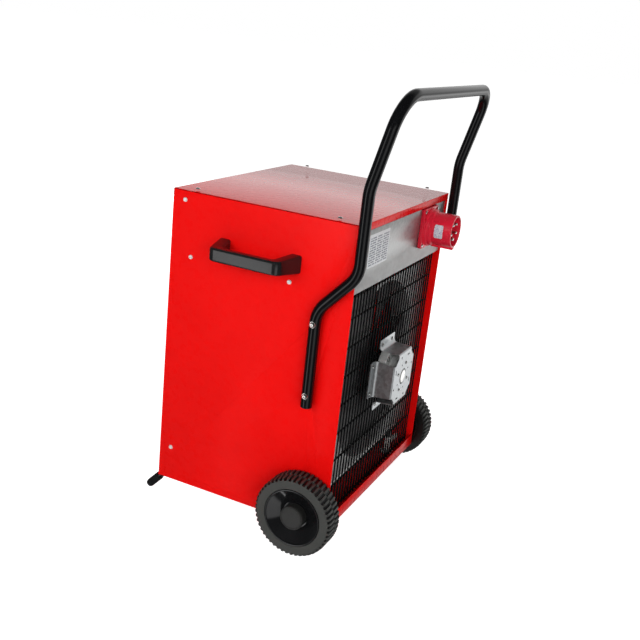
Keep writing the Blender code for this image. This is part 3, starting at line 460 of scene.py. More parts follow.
def galvanised(name="galvanised_steel", tone=0.40, metallic=0.86, cool=0.0):
    """Zinc-coated sheet: crystals of differing brightness and a fine grain."""
    g = Surface(name, "galvanised")
    warp = g.add("ShaderNodeTexNoise", {"Vector": g.place, "Scale": 60.0}).outputs["Color"]
    shift = g.add("ShaderNodeVectorMath", {0: warp, 1: (0.006, 0.006, 0.006)},
                  operation="MULTIPLY").outputs[0]
    where = g.add("ShaderNodeVectorMath", {0: g.place, 1: shift}, operation="ADD").outputs[0]
    cells = g.add("ShaderNodeTexVoronoi", {"Vector": where, "Scale": 170.0}, feature="F1")
    crystal = g.add("ShaderNodeSeparateColor", {"Color": cells.outputs["Color"]}).outputs[0]
    fine = g.noise(900, 3, 0.7)
    mixed = g.maths("ADD", g.maths("MULTIPLY", crystal, 0.75), g.maths("MULTIPLY", fine, 0.25))
    zinc = (tone * (1 - cool), tone * 1.01, tone * (1 + cool))
    colour = g.blend(mixed, scaled(zinc, 0.80), scaled(zinc, 1.22))
    g.set(Base_Color=colour, Metallic=metallic, Roughness=g.spread(crystal, 0.30, 0.46, 0, 1))
    g.set(Normal=g.bump(mixed, 0.00005, 0.35))
    return g.material


def bright_metal(name, slot, colour, roughness, metallic=1.0):
    """Plated or machined metal with fine scratches."""
    g = Surface(name, slot)
    lines = g.noise(420, 4, 0.6, (1, 9, 1))
    tone = g.blend(g.spread(g.noise(90, 4), 0, 1), scaled(colour, 0.86), scaled(colour, 1.08))
    g.set(Base_Color=tone, Metallic=metallic,
          Roughness=g.spread(lines, roughness * 0.7, roughness * 1.5))
    g.set(Normal=g.bump(lines, 0.00002, 0.4))
    return g.material


def stove_enamel(name, slot, colour, roughness):
    """Hard gloss black, with a faint ripple and dust specks."""
    g = Surface(name, slot)
    ripple = g.bump(g.noise(330, 2, 0.4), 0.00004, 0.08)
    specks = g.spread(g.noise(1500, 2, 0.6), 0, 1, 0.72, 0.80)
    tone = g.blend(specks, colour, (0.05, 0.05, 0.05))
    g.set(Base_Color=tone, Normal=ripple, IOR=1.34,
          Roughness=g.spread(g.noise(60, 3), roughness, roughness * 1.6))
    return g.material


def finned_metal():
    """Thin rolled aluminium: fine ripples across each fin."""
    g = Surface("coil_fins", "fin_aluminium")
    wave = g.add("ShaderNodeTexWave", {"Vector": g.place, "Scale": 95.0, "Distortion": 0.6},
                 bands_direction="Z").outputs["Fac"]
    tone = g.blend(g.noise(50, 4), (0.36, 0.37, 0.38), (0.62, 0.63, 0.64))
    g.set(Base_Color=tone, Metallic=0.7, Roughness=g.spread(wave, 0.35, 0.55, 0, 1))
    g.set(Normal=g.bump(wave, 0.0002, 0.5))
    return g.material


def copper_pipe():
    """Drawn copper, browned here and there."""
    g = Surface("copper_pipe", "copper")
    patch = g.spread(g.noise(45, 5, 0.65), 0, 1, 0.42, 0.66)
    g.set(Base_Color=g.blend(patch, (0.72, 0.33, 0.19), (0.30, 0.13, 0.07)), Metallic=0.95,
          Roughness=g.spread(patch, 0.22, 0.48, 0, 1))
    g.set(Normal=g.bump(g.noise(700, 3), 0.00002, 0.4))
    return g.material


def label_film(name, printed=False):
    """White film with faint unevenness, or with blurred marks like small print."""
    g = Surface(name, "white_plastic")
    tone = g.blend(g.noise(120, 4), (0.62, 0.63, 0.65), (0.76, 0.77, 0.79))
    if printed:
        marks = g.spread(g.noise(420, 1, 0.5, (1, 1, 2.2)), 0, 0.8, 0.52, 0.60)
        tone = g.blend(marks, tone, (0.20, 0.16, 0.40))
    g.set(Base_Color=tone, Roughness=g.spread(g.noise(300, 3), 0.28, 0.42))
    g.set(Normal=g.bump(g.noise(800, 2), 0.00002, 0.3))
    return g.material


def filter_mat():
    """Woven filter mesh with painted shade between its threads: the gaps go near black as if the
    weave were open.
    """
    g = Surface("filter_mat", "black_plastic")
    threads = []
    for direction in ("X", "Z"):
        wave = g.add("ShaderNodeTexWave", {"Vector": g.place, "Scale": 130.0},
                     bands_direction=direction, wave_profile="SIN")
        threads.append(wave.outputs["Fac"])
    cover = g.maths("MAXIMUM", *threads)
    # painted shade: near black between the threads, lighter grey on them
    tone = g.blend(g.spread(cover, 0, 1, 0.5, 0.8), (0.010, 0.010, 0.011), (0.10, 0.10, 0.11))
    g.set(Base_Color=tone, Roughness=0.7, Normal=g.bump(cover, 0.0005, 0.8))
    return g.material


def make_finishes():
    """Every finish, by the name the piece functions use."""
    return {
        "red": red_paint(),
        "pan_red": red_paint("pan_powder_coat", 0.2),
        "zinc": galvanised(),
        # painted light: a lighter copy of the galvanised finish, lifting the bracket out of the
        # shade it sits in
        "bracket_zinc_lightened": galvanised("galvanised_lightened_for_bracket", 0.52, cool=0.03),
        "pale_zinc": galvanised("pale_galvanised", 0.38, 0.55),
        # partly painted highlight: a lighter copy of the bright steel that makes the side screws
        # and the axle read whiter, standing both for their brighter plating and for highlights
        "steel_lightened": bright_metal("steel_lightened_for_highlights", "bright_steel", (0.92, 0.92, 0.90), 0.36,
                                   0.55),
        "tube": stove_enamel("black_stove_enamel", "black_tube", (0.0035, 0.0036, 0.0042), 0.11),
        "enamel": stove_enamel("compressor_enamel", "black_enamel", (0.012, 0.012, 0.013), 0.28),
        "wire": moulded("dipped_wire", "black_wire", (0.0045, 0.0047, 0.0050), 0.34, 0.00002,
                        ior=1.14),
        "grip": moulded("grip_plastic", "black_plastic", (0.010, 0.0105, 0.0110), 0.17, 0.00002,
                        ior=1.48),
        "plastic": moulded("black_moulding", "black_plastic", (0.010, 0.010, 0.0105), 0.42),
        "cap": moulded("hub_plastic", "black_plastic", (0.017, 0.017, 0.016), 0.48),
        "gloss": moulded("gloss_rim", "black_plastic", (0.006, 0.0062, 0.0068), 0.12, 0.00001),
        "tyre": tread_rubber(centre_of("left_tyre")),
        "rubber": moulded("black_rubber", "black_rubber", (0.0075, 0.0075, 0.0078), 0.66, 0.00008,
                          ior=1.25),
        "crimson": moulded("crimson_moulding", "crimson_plastic", (0.70, 0.013, 0.036), 0.24,
                           0.00003, mottle=0.05),
        "crimson_dark": moulded("inlet_insert", "dark_red_plastic", (0.20, 0.006, 0.014), 0.34,
                                0.00003),
        "steel": bright_metal("bright_zinc_plate", "bright_steel", (0.74, 0.74, 0.72), 0.20),
        "cast": bright_metal("die_cast", "motor_metal", (0.62, 0.63, 0.62), 0.36, 0.55),
        "fins": finned_metal(),
        "copper": copper_pipe(),
        "white": moulded("white_moulding", "white_plastic", (0.76, 0.76, 0.73), 0.38, 0.00003,
                         mottle=0.04),
        "grey": moulded("grey_moulding", "grey_plastic", (0.16, 0.17, 0.18), 0.48),
        "hose": moulded("smoked_hose", "clear_hose", (0.035, 0.038, 0.038), 0.30, 0.00002,
                        mottle=0.06),
        "label": label_film("label_film"),
        "print": label_film("printed_film", True),
        "ink": moulded("label_ink", "grey_plastic", (0.12, 0.13, 0.17), 0.5, 0.00001),
        "mat": filter_mat(),
    }


FINISH = make_finishes()


# ---- fasteners --------------------------------------------------------------------------
def pan_head(radius=0.0047, height=0.0026):
    """Domed screw head on local z = 0, with a cross recess."""
    head = lathe(soft_profile([(0, 0), (radius, 0), (radius, height * 0.35),
                               (radius * 0.72, height), (0, height * 1.05)], 0.0005), 24)
    arm, wide = radius * 0.52, radius * 0.13
    cross = [block((-arm, -wide, height * 0.35), (arm, wide, height * 2)),
             block((-wide, -arm, height * 0.35), (wide, arm, height * 2))]
    return carved(head, cross)


def screws(name, spots, direction, head=None, finish="steel"):
    """A set of equal screws, all facing one way."""
    head = head or pan_head()
    bm = bmesh.new()
    for index, spot in enumerate(spots):
        turn = Matrix.Rotation(1.1 * index + 0.4, 4, "Z")
        add(bm, head.copy(), to_place(spot, direction) @ turn)
    head.free()
    piece(name, bm, finish)


def hexagon(radius):
    """Outline of a hexagon whose corners are at a radius."""
    return [polar(radius, angle).xy for angle in turns(6)]


def hex_button(radius, height):
    """Button head with a hexagon socket."""
    head = lathe(soft_profile([(0, 0), (radius, 0), (radius, height * 0.3),
                               (radius * 0.6, height), (0, height)], 0.0006), 28)
    return carved(head, [prism(hexagon(radius * 0.42), height * 0.4, height * 2)])


# ---- cabinet ----------------------------------------------------------------------------
# CAD nodes shown as they are: finish, edge radius and the steps in its curve.
KEPT = {
    "top_cover": ("red", 0.0011, 3),
    "front_panel": ("red", 0.0005, 2),
    "left_side_panel": ("red", 0.0005, 2),
    "right_side_panel": ("red", 0.0005, 2),
    "base_pan": ("pan_red", 0.0005, 2),
    "left_tank_runner": ("zinc", 0.0003, 2),
    "right_tank_runner": ("zinc", 0.0003, 2),
    "rear_service_plate": ("zinc", 0.0004, 2),
    "divider_shelf": ("zinc", 0.0004, 2),
    # partly painted highlight: the axle wears the lightened steel
    "axle": ("steel_lightened", 0.0, 0),
    "motor_shaft": ("steel", 0.0, 0),
    "supply_cable": ("rubber", 0.0, 0),
    "drip_tray": ("grey", 0.0004, 2),
    "float_switch": ("plastic", 0.0012, 3),
    "tank_float": ("white", 0.0004, 2),
    "condensate_tank": ("grey", 0.0009, 3),
    "air_filter": ("plastic", 0.0007, 2),
    "humidistat_body": ("grey", 0.0008, 2),
    "switch_housing": ("plastic", 0.0006, 2),
    "rocker_switch": ("gloss", 0.0006, 3),
    "hour_meter": ("plastic", 0.0007, 2),
    "contactor": ("grey", 0.0015, 3),
}


def cabinet():
    """Screws of the lid and the sides."""
    # LID_HIGH.z is lifted already and at() lifts it again, so these stand LIFT above the lid.
    screws("lid_screws", [at(x, y, LID_HIGH.z) for x in (-0.236, 0.236)
                          for y in (-0.152, 0.152)], (0, 0, 1))
    spots = ((-0.172, 0.645), (-0.152, 0.534), (0.068, 0.531), (-0.172, 0.113))
    for side, label in SIDES:
        # partly painted highlight: the side screws wear the lightened steel
        screws(f"{label}_side_screws", [at(side * HALF_WIDTH, y, z) for y, z in spots],
               (side, 0, 0), pan_head(0.0046, 0.0025), "steel_lightened")


def printed_rows(columns, rows, low, pitch, tall):
    """Short strokes of uneven length in columns, like print too small to read."""
    out = []
    for row in range(rows):
        for column, (left, right) in enumerate(columns):
            reach = left
            stroke = 0
            while reach < right - 0.001:
                stroke += 1
                wide = 0.0016 + 0.0019 * ((row * 5 + column * 3 + stroke * 7) % 4) / 3
                end = min(reach + wide, right)
                if (row * 3 + column + stroke) % 6:
                    out.append((reach, end, low + row * pitch, low + row * pitch + tall))
                reach = end + 0.0008
    return out


def rating_label():
    """Label on the service plate: pale film with rows of grey strokes, no words."""
    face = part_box("rear_service_plate")[1].y + 0.00015
    low, high = at(0.088, 0, 0.571), at(0.189, 0, 0.636)
    outline = rectangle(low.x, low.z, high.x, high.z, 0.003)
    piece("rating_label", prism(outline, 0, 0.00025, to_rear(0, face, 0)), "label")
    bm = bmesh.new()
    columns = ((0.005, 0.034), (0.038, 0.062), (0.066, 0.096))
    for left, right, bottom, top in printed_rows(columns, 12, 0.0042, 0.0047, 0.0024):
        add(bm, block((low.x + left, face + 0.0003, low.z + bottom),
                      (low.x + right, face + 0.0004, low.z + top)))
    piece("rating_label_lines", bm, "ink")


def rear_guard():
    """Upright wires welded in front of stouter cross wires."""
    low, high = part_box("rear_guard")
    upright, uprights = 0.00165, 32
    cross, crosses = 0.0020, 9
    bm = bmesh.new()
    front = high.y - upright
    for wire in range(uprights):
        x = low.x + upright + (high.x - low.x - 2 * upright) * wire / (uprights - 1)
        add(bm, tube([Vector((x, front, low.z)), Vector((x, front, high.z))], upright, 10))
    behind = front - upright - cross + HAIR
    for row in range(crosses):
        z = low.z + cross + (high.z - low.z - 2 * cross) * row / (crosses - 1)
        add(bm, tube([Vector((low.x, behind, z)), Vector((high.x, behind, z))], cross, 10))
    piece("guard_wires", bm, "wire", stands_for=["rear_guard"], smooth=60)


def shroud():
    """Plate round the fan with a rolled inlet ring, and a flat black sheet laid over its upper
    left.
    """
    low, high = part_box("fan_shroud")
    bore, tall, roll = 0.1915, 0.1990, 0.0050
    front, back = at(0, 0.1705, 0).y, at(0, 0.1720, 0).y
    plate = block((low.x, front, FAN_Z - tall), (high.x, back, FAN_Z + tall))
    gap = bore + roll + HAIR
    hole = rod(gap, -0.1, 0.4, 96, to_place((0, 0, FAN_Z), (0, 1, 0)))
    piece("shroud_plate", carved(plate, [hole]), "pale_zinc", stands_for=["fan_shroud"])
    depth = back - low.y
    ring = [(bore, -depth), (bore + SHEET, -depth), (bore + SHEET, -0.0045),
            (bore + roll, -SHEET), (bore + roll, -HAIR), (bore + 0.0030, -HAIR),
            (bore, -0.0040)]
    piece("shroud_ring", lathe(ring, 96, to_place((0, back, FAN_Z), (0, 1, 0))), "pale_zinc",
          smooth=50)
    # a flat black sheet over the shroud's upper left, which shows dark behind the guard
    outline = [(0.062, 0.250), (0.125, 0.258), (high.x, 0.330), (high.x, 0.506), (0.062, 0.506)]
    cover = prism(outline, HAIR, SHEET, to_rear(0, back, LIFT), edge=0.0003)
    piece("shroud_black_sheet", cover, "plastic")


# ---- motor, bracket and fan -------------------------------------------------------------
def bracket_strip(half, face, foot, turn):
    """Middle surface of one leg: face edge, bend, leg, wide bend and flange."""
    bends = [(half - 0.008, face), (half, face), (half, foot), (half + 0.022, foot)]
    profile = rounded([(r, y, 0) for r, y in bends], [0.0035, 0.0095], 6)
    corner = profile[-1]
    trims = (0.0030, 0.0009, 0)
    profile[-1:] = [corner - Vector((trim, 0, 0)) for trim in trims]
    rows = []
    for index, point in enumerate(profile):
        drop = min(1.0, max(0.0, (face - point.y) / (face - foot)))
        wide = 0.036 + 0.004 * drop
        last = len(profile) - 1 - index
        cut = trims[last] if last < 3 else 0
        rows.append((point.x, point.y, wide - cut))
    spin = Matrix.Rotation(turn, 3, "Y")
    return [[spin @ Vector((-w, y, r)), spin @ Vector((w, y, r))] for r, y, w in rows]


def motor_bracket():
    """Pressed galvanised bracket with bends, slots, holes and screws."""
    face, foot = BRACKET_HIGH.y, BRACKET_LOW.y + 0.002
    half, bolt_circle = 0.057, 0.0300
    bm = bmesh.new()
    corners = []
    for quarter in range(4):
        rows = bracket_strip(half, face, foot, quarter * math.pi / 2)
        made = [[bm.verts.new(point) for point in row] for row in rows]
        corners.extend(made[0])
        for one, two in zip(made, made[1:]):
            bm.faces.new((one[0], one[1], two[1], two[0]))
    bm.faces.new(corners)
    bmesh.ops.recalc_face_normals(bm, faces=bm.faces)
    front = max(bm.faces, key=lambda f: f.calc_center_median().y * (len(f.verts) == 8))
    if front.normal.y < 0:
        bmesh.ops.reverse_faces(bm, faces=bm.faces)
    thick = sheet_metal(bm, 0.002)
    tools = [drill(0.0172, 0, 0, face)]
    for angle in turns(8):
        spot = polar(bolt_circle, angle + math.pi / 8)
        tools.append(drill(0.0021, spot.x, spot.y, face))
    slot = rectangle(-0.006, -0.0017, 0.006, 0.0017, 0.0016)
    for x, z, turn in ((0.044, 0.020, 90), (-0.044, -0.020, 90), (0.020, -0.045, 0),
                       (-0.020, 0.045, 0)):
        where = to_place((x, face, z), (0, 1, 0)) @ Matrix.Rotation(math.radians(turn), 4, "Z")
        tools.append(prism(slot, -0.01, 0.01, where))
    for x, z in ((0.046, -0.018), (-0.046, 0.018), (0.019, 0.046), (-0.019, -0.046)):
        tools.append(drill(0.0026, x, z, face))
    flange = half + 0.0105
    held = [place for spot in (-0.030, 0.030)
            for place in ((flange, spot), (-flange, spot), (spot * 0.9, flange),
                          (spot * 0.9, -flange))]
    tools += [drill(0.0019, x, z, foot) for x, z in held]
    sheet = moved(carved(thick, tools), Matrix.Translation((0, 0, FAN_Z)))
    # painted light: the bracket wears the lightened copy of the galvanised finish
    piece("bracket_sheet", sheet, "bracket_zinc_lightened", stands_for=["motor_bracket"], smooth=32)
    screws("bracket_flange_screws", [Vector((x, foot, FAN_Z + z)) for x, z in held], (0, 1, 0),
           pan_head(0.0040, 0.0024))
    spots = [polar(bolt_circle, angle + math.pi / 8) for angle in turns(4)]
    screws("bracket_motor_screws", [Vector((p.x, face, FAN_Z + p.y)) for p in spots],
           (0, 1, 0), pan_head(0.0034, 0.0022))


def drill(radius, x, z, face):
    """Round cutter through a sheet that faces +Y."""
    return rod(radius, -0.012, 0.012, where=to_place((x, face, z), (0, 1, 0)))


def fan_motor():
    """Round die-cast motor with a seam, a domed end and two bolted ears."""
    low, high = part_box("fan_motor")
    length = high.y - low.y
    where = to_place((0, low.y, FAN_Z), (0, 1, 0))
    turned("motor_can", [(0, 0.0335), (0.0043, 0.0335), (0.0043, 0), (0.015, 0), (0.017, 0.005),
                         (0.044, 0.006), (0.049, 0.011), (0.049, length - 0.0098),
                         (0.044, length - 0.0038), (0.0150, length - 0.0038),
                         (0.0130, length - 0.0006), (0, length)], "cast", where, 0.0004, 64,
           stands_for=["fan_motor"])
    middle = length * 0.46
    band = [(0.0485, -0.002), (0.0490, -0.002), (0.0503, -0.0014), (0.0503, 0.0014),
            (0.0490, 0.002), (0.0485, 0.002)]
    piece("motor_seam", lathe([(r, middle + h) for r, h in band], 64, where), "cast")
    ears = bmesh.new()
    rings = bmesh.new()
    outline = rounded_outline([(0.044, -0.0135), (0.0745, -0.0115), (0.0745, 0.0115),
                               (0.044, 0.0135)], 0.0035)
    bolt = Matrix.Translation((0.0655, 0, 0))
    top = length - 0.021
    for angle in (math.pi * 3 / 4, math.pi * 7 / 4):
        spin = where @ Matrix.Rotation(angle, 4, "Z")
        ear = prism(outline, top - 0.017, top, edge=0.0008)
        add(ears, carved(ear, [rod(0.0038, -0.1, 0.1, where=bolt)]), spin)
        add(rings, lathe([(0.0039, top - 0.0005), (0.0064, top - 0.0005),
                          (0.0060, top + 0.0014), (0.0043, top + 0.0014)], 20, spin @ bolt))
    piece("motor_ears", ears, "cast")
    piece("motor_ear_rings", rings, "steel")
    turned("motor_boss", [(0, length - 0.0036), (0.0146, length - 0.0036),
                          (0.0146, length - 0.0002), (0.0130, length + 0.0004),
                          (0, length + 0.0006)], "steel", where, sides=40)


def impeller():
    """Hub and five smooth sickle blades."""
    where = to_place((0, MIDDLE_Y, FAN_Z), (0, 1, 0))
    turned("fan_hub", [(0.0043, 0.131), (0.031, 0.131), (0.036, 0.136), (0.036, 0.167),
                       (0.0043, 0.167)], "plastic", where, 0.0012, body="fan",
           stands_for=["fan_impeller"])
    bm = bmesh.new()
    root, tip, spans, chords = 0.0345, 0.1855, 14, 10
    for turn in turns(5):
        rings = []
        for span in range(spans + 1):
            share = span / spans
            radius = root + (tip - root) * share
            sweep = math.radians(17 + 10 * share) * (1 - 0.10 * max(0, share - 0.85) / 0.15)
            rise = 0.013 - 0.001 * share
            upper, lower = [], []
            for chord in range(chords + 1):
                place = 2 * chord / chords - 1
                thick = Vector((0, 0, 0.0012 * math.sqrt(max(0.04, 1 - place * place))))
                point = polar(radius, turn + place * sweep, 0.149 + place * rise)
                upper.append(where @ (point + thick))
                lower.append(where @ (point - thick))
            rings.append(upper + lower[::-1])
        add(bm, loft(rings))
    piece("fan_blades", bm, "plastic", "fan", smooth=50)


# ---- handles, wheels and foot -----------------------------------------------------------
def push_handle():
    """Bent stove-enamelled tube with plugged ends, bolted to both sides."""
    radius, side_x, leg_y = 0.0113, 0.2588, 0.135
    half = [(leg_y, 0.2995), (leg_y, 0.492), (0.2105, 0.575), (0.2105, 0.731), (0.2529, 0.897)]
    corners = [at(side_x, y, z) for y, z in half] + [at(-side_x, y, z) for y, z in half[::-1]]
    bends = [0.060, 0.060, 0.120, 0.058]
    path = rounded(corners, bends + bends[::-1], 12)
    piece("push_handle_tube", tube(path, radius, 32), "tube", stands_for=["push_handle"],
          smooth=60)
    plugs = bmesh.new()
    plug = soft_profile([(0, -0.0014), (0.0096, -0.0014), (0.0108, -0.0004), (0.0108, 0.0002),
                         (0, 0.0002)], 0.0004)
    for x in (side_x, -side_x):
        add(plugs, lathe(plug, 32, Matrix.Translation(at(x, leg_y, 0.2994))))
    piece("push_handle_plugs", plugs, "plastic")
    washer = soft_profile([(0, 0), (0.0062, 0), (0.0062, 0.0012), (0, 0.0012)], 0.0002)
    for side, label in SIDES:
        for place, height in (("lower", 0.324), ("upper", 0.468)):
            spot = at(side * (side_x + radius - 0.0006), leg_y, height)
            bm = lathe(washer, 28)
            add(bm, hex_button(0.0053, 0.0032), Matrix.Translation((0, 0, 0.0013)))
            add(bm, rod(0.0029, -0.0345, -0.0008, 16))
            piece(f"{label}_{place}_bolt", moved(bm, to_place(spot, (side, 0, 0))), "steel",
                  stands_for=[f"{label}_{place}_handle_bolt"])


def carry_handles():
    """Satin grips with rounded edges, whose arms flare to the side panels."""
    low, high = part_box("left_carry_handle")
    panel, outer = low.x, high.x - HAIR
    foot, bar, thick, slim = 0.0889, 0.0734, 0.0178, 0.0263
    inner = outer - thick
    middle, tall = (low.z + high.z) / 2, high.z - low.z
    grip = rounded([(panel, -foot, 0), (outer, -bar, 0), (outer, bar, 0), (panel, foot, 0)],
                   [0.015, 0.015], 10)
    hand = rounded([(panel, 0.024 - foot, 0), (inner, 0.020 - bar, 0),
                    (inner, bar - 0.020, 0), (panel, foot - 0.024, 0)], [0.010, 0.010], 10)
    for side, label in SIDES:
        rings = []
        for outside, inside in zip(grip, hand):
            share = max(0.0, (inner - inside.x) / (inner - panel))
            half = (slim + (tall - slim) * share) / 2
            across = outside - inside
            wide = across.length
            section = rectangle(0, -half, wide, half, 0.0046, 5)
            across.normalize()
            rings.append([Vector((side * (inside.x + across.x * u),
                                  inside.y + across.y * u + MIDDLE_Y, middle + v))
                          for u, v in section])
        piece(f"{label}_carry_grip", loft(rings), "grip",
              stands_for=[f"{label}_carry_handle"], smooth=50)


# Half of the tyre's section: radius, place across, groove drop in and across, slant.
TYRE_ROWS = [
    (0.08080, 0.0005, 0.0000, 0.0000, 0.00), (0.08250, 0.0014, 0.0030, 0.0000, 0.06),
    (0.08290, 0.0100, 0.0046, 0.0000, 0.45), (0.08285, 0.0170, 0.0048, 0.0002, 0.75),
    (0.08230, 0.0208, 0.0048, 0.0010, 0.92), (0.08110, 0.0232, 0.0040, 0.0024, 0.98),
    (0.07930, 0.0244, 0.0016, 0.0024, 1.00), (0.07760, 0.0247, 0.0000, 0.0000, 1.00),
    (0.07690, 0.0251, 0.0000, 0.0000, 1.00), (0.07560, 0.0252, 0.0000, 0.0000, 1.00),
    (0.06900, 0.0252, 0.0000, 0.0000, 1.00), (0.06230, 0.0251, 0.0000, 0.0000, 1.00),
    (0.06080, 0.0247, 0.0000, 0.0000, 1.00), (0.06010, 0.0238, 0.0000, 0.0000, 1.00),
    (0.05980, 0.0200, 0.0000, 0.0000, 1.00)]


def wheel(side, label):
    """Tyre with two slanted rows of lugs, glossy cone rim and a flat matt hub cap."""
    middle = centre_of(f"{label}_tyre")
    where = to_place(middle, (side, 0, 0))
    lugs, slope = 50, 0.14
    pitch = 2 * math.pi / lugs
    beats = ((0.00, 1), (0.09, 0), (0.49, 0), (0.58, 1))
    section = [(r, -x, dr, -dx, slant * slope + 0.5) for r, x, dr, dx, slant in TYRE_ROWS[::-1]]
    section += [(r, x, dr, dx, slant * -slope) for r, x, dr, dx, slant in TYRE_ROWS]
    rings = [[where @ polar(radius - drop * groove, (lug + beat + offset) * pitch,
                            across - shift * groove) for lug in range(lugs)
              for beat, groove in beats] for radius, across, drop, shift, offset in section]
    body = f"{label}_wheel"
    piece(f"{label}_tyre_tread", loft(rings, closed=True), "tyre", body, [f"{label}_tyre"],
          smooth=28)
    drum, wide = 0.0592, 0.052
    base = to_place(middle - Vector((side * wide / 2, 0, 0)), (side, 0, 0))
    turned(f"{label}_rim_cone", [(0.0082, 0.0), (0.020, 0.0), (0.023, 0.012), (0.052, 0.012),
                                 (0.055, 0.003), (drum, 0.003), (drum, 0.0510),
                                 (0.0572, 0.0512), (0.0562, 0.0490), (0.0310, 0.0355),
                                 (0.0272, 0.0335), (0.0082, 0.0335)], "gloss", base, 0.0006,
           96, body, [f"{label}_rim"], smooth=40)
    turned(f"{label}_cap_disc", [(0, 0.0455), (0.0100, 0.0455), (0.0100, 0.0345),
                                 (0.0250, 0.0345), (0.0250, 0.0500), (0.0240, 0.0520),
                                 (0.0212, 0.0528), (0.0200, 0.0520), (0, 0.0524)], "cap", base,
           0.0005, 72, body, [f"{label}_hub_cap"], smooth=40)


def foot():
    """Bent foot rod out through the pan, its legs in rubber sleeves flat on the floor."""
    tip, bend = at(0.2340, -0.2265, 0.0086 - LIFT), at(0.2340, -0.1856, 0.0500)
    corners = [tip, bend, Vector((-bend.x, bend.y, bend.z)), Vector((-tip.x, tip.y, tip.z))]
    piece("foot_rod", tube(rounded(corners, [0.018, 0.018], 10), 0.0074), "tube",
          stands_for=["front_foot"], smooth=60)
    profile = soft_profile([(0, 0.0004), (0.0076, 0.0004), (0.0076, -0.0335),
                            (0.0089, -0.0335), (0.0089, 0.0007), (0.0076, 0.0053),
                            (0.0044, 0.0079), (0, 0.0086)], 0.0006)
    for end, corner, label in ((tip, bend, "left"), (corners[3], corners[2], "right")):
        cap = lathe(profile, 36, to_place(end, end - corner))
        floor = block((end.x - 0.03, end.y - 0.03, -0.03), (end.x + 0.03, end.y + 0.03, 0.0))
        piece(f"{label}_foot_tip", carved(cap, [floor]), "rubber",
              stands_for=[f"{label}_foot_cap"])


# ---- power inlet ------------------------------------------------------------------------
def power_inlet():
    """Five-pin inlet: rounded flange, stepped ring, keyed collar, pins and a small label."""
    low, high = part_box("power_inlet_housing")
    half = 0.0428
    length = high.y - low.y
    stand = to_rear(low.x + half + HAIR, low.y, high.z - half - HAIR)
    base = prism(rectangle(-half, -half, half, half, 0.006, 6), 0, 0.0085, edge=0.0012)
    outer, inner, pins = 0.0350, 0.0312, 0.0175
    collar = lathe(soft_profile([(0.0, 0.004), (0.0418, 0.004), (0.0410, 0.0125),
                                 (0.0392, 0.0140), (0.0385, 0.0205), (0.0362, 0.0225),
                                 (outer, 0.0240), (outer, length - 0.0002),
                                 (inner, length - 0.0002), (inner, 0.0225), (0.0, 0.0225)],
                                0.0007), 96)
    key = block((-0.0058, -outer - 0.0046, 0.018), (0.0058, -outer + 0.0020, length - 0.0006),
                0.0007)
    joined = carved(base, [collar, key], "UNION")
    holes = [rod(0.0034, 0.006, 0.03, where=Matrix.Translation((u, v, 0)))
             for u in (-0.035, 0.035) for v in (-0.035, 0.035)]
    piece("inlet_shell", moved(carved(joined, holes), stand), "crimson",
          stands_for=["power_inlet_housing"], smooth=32)
    rim = inner - 0.0004
    turned("inlet_disc", [(0, 0.0228), (rim, 0.0228), (rim, 0.0290), (0, 0.0290)],
           "crimson_dark", stand, 0.0004, 64, stands_for=["power_inlet_insert"])
    bm = bmesh.new()
    sleeves = bmesh.new()
    for number, angle in enumerate(turns(5)):
        radius = 0.0032 if number else 0.0040
        spot = stand @ Matrix.Translation(polar(pins, angle - math.pi / 2))
        pin = soft_profile([(0, 0.0265), (radius, 0.0265), (radius, length - 0.0045),
                            (radius * 0.7, length - 0.0025), (0, length - 0.0022)], 0.0005)
        add(bm, lathe(pin, 24, spot))
        add(sleeves, lathe([(radius + HAIR, 0.0291), (radius + 0.0014, 0.0291),
                            (radius + 0.0012, 0.0335), (radius + HAIR, 0.0335)], 24, spot))
    piece("inlet_pins", bm, "steel")
    piece("inlet_pin_sleeves", sleeves, "crimson_dark")
    spots = [stand @ Vector((u, v, 0.0078)) for u in (-0.036, 0.036) for v in (-0.036, 0.036)]
    screws("inlet_screws", spots, (0, 1, 0), pan_head(0.0040, 0.0028))
    rows = []
    steps = 12
    for step in range(steps + 1):
        angle = math.radians(-24 + 48 * step / steps)
        trim = 0.0016 * (1 - math.sqrt(max(0.0, 1 - (abs(step - steps / 2) * 2 / steps) ** 8)))
        back, front = outer - 0.0003, outer + 0.00025
        rows.append([stand @ polar(r, angle, w)
                     for r, w in ((back, 0.0300 + trim), (front, 0.0300 + trim),
                                  (front, 0.0490 - trim), (back, 0.0490 - trim))])
    piece("inlet_label", loft(rows), "print", smooth=60)


# ---- cooling circuit and water parts ------------------------------------------------------
def coil(label):
    """Fin stack with copper bends at both ends and galvanised end plates."""
    low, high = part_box(f"{label}_coil")
    fins, rows, radius = 118, 12, 0.0042
    bm = bmesh.new()
    for fin in range(fins):
        x = low.x + 0.004 + (high.x - low.x - 0.008) * fin / (fins - 1)
        add(bm, block((x - 0.00035, low.y, low.z), (x + 0.00035, high.y, high.z)))
    piece(f"{label}_fins", bm, "fins", stands_for=[f"{label}_coil"])
    plates = bmesh.new()
    for x, step in ((low.x, 1), (high.x, -1)):
        add(plates, block((min(x, x + step * 0.0012), low.y, low.z),
                          (max(x, x + step * 0.0012), high.y, high.z), 0.0003))
    piece(f"{label}_end_plates", plates, "zinc")
    pipes = bmesh.new()
    gap = (high.z - low.z) / rows
    for y in (low.y + (high.y - low.y) * 0.27, low.y + (high.y - low.y) * 0.73):
        for row in range(rows):
            z = low.z + gap * (row + 0.5)
            ends = [Vector((low.x - 0.001, y, z)), Vector((high.x + 0.001, y, z))]
            add(pipes, tube(ends, radius, 12))
            if row == rows - 1:
                continue
            x, way = ((high.x + 0.0008, 1), (low.x - 0.0008, -1))[row % 2]
            bend = [Vector((x, y, z + gap / 2)) +
                    Vector((way * gap / 2 * math.sin(a), 0, -gap / 2 * math.cos(a)))
                    for a in (math.pi * k / 10 for k in range(11))]
            add(pipes, tube(bend, radius, 12))
    piece(f"{label}_pipes", pipes, "copper", smooth=60)


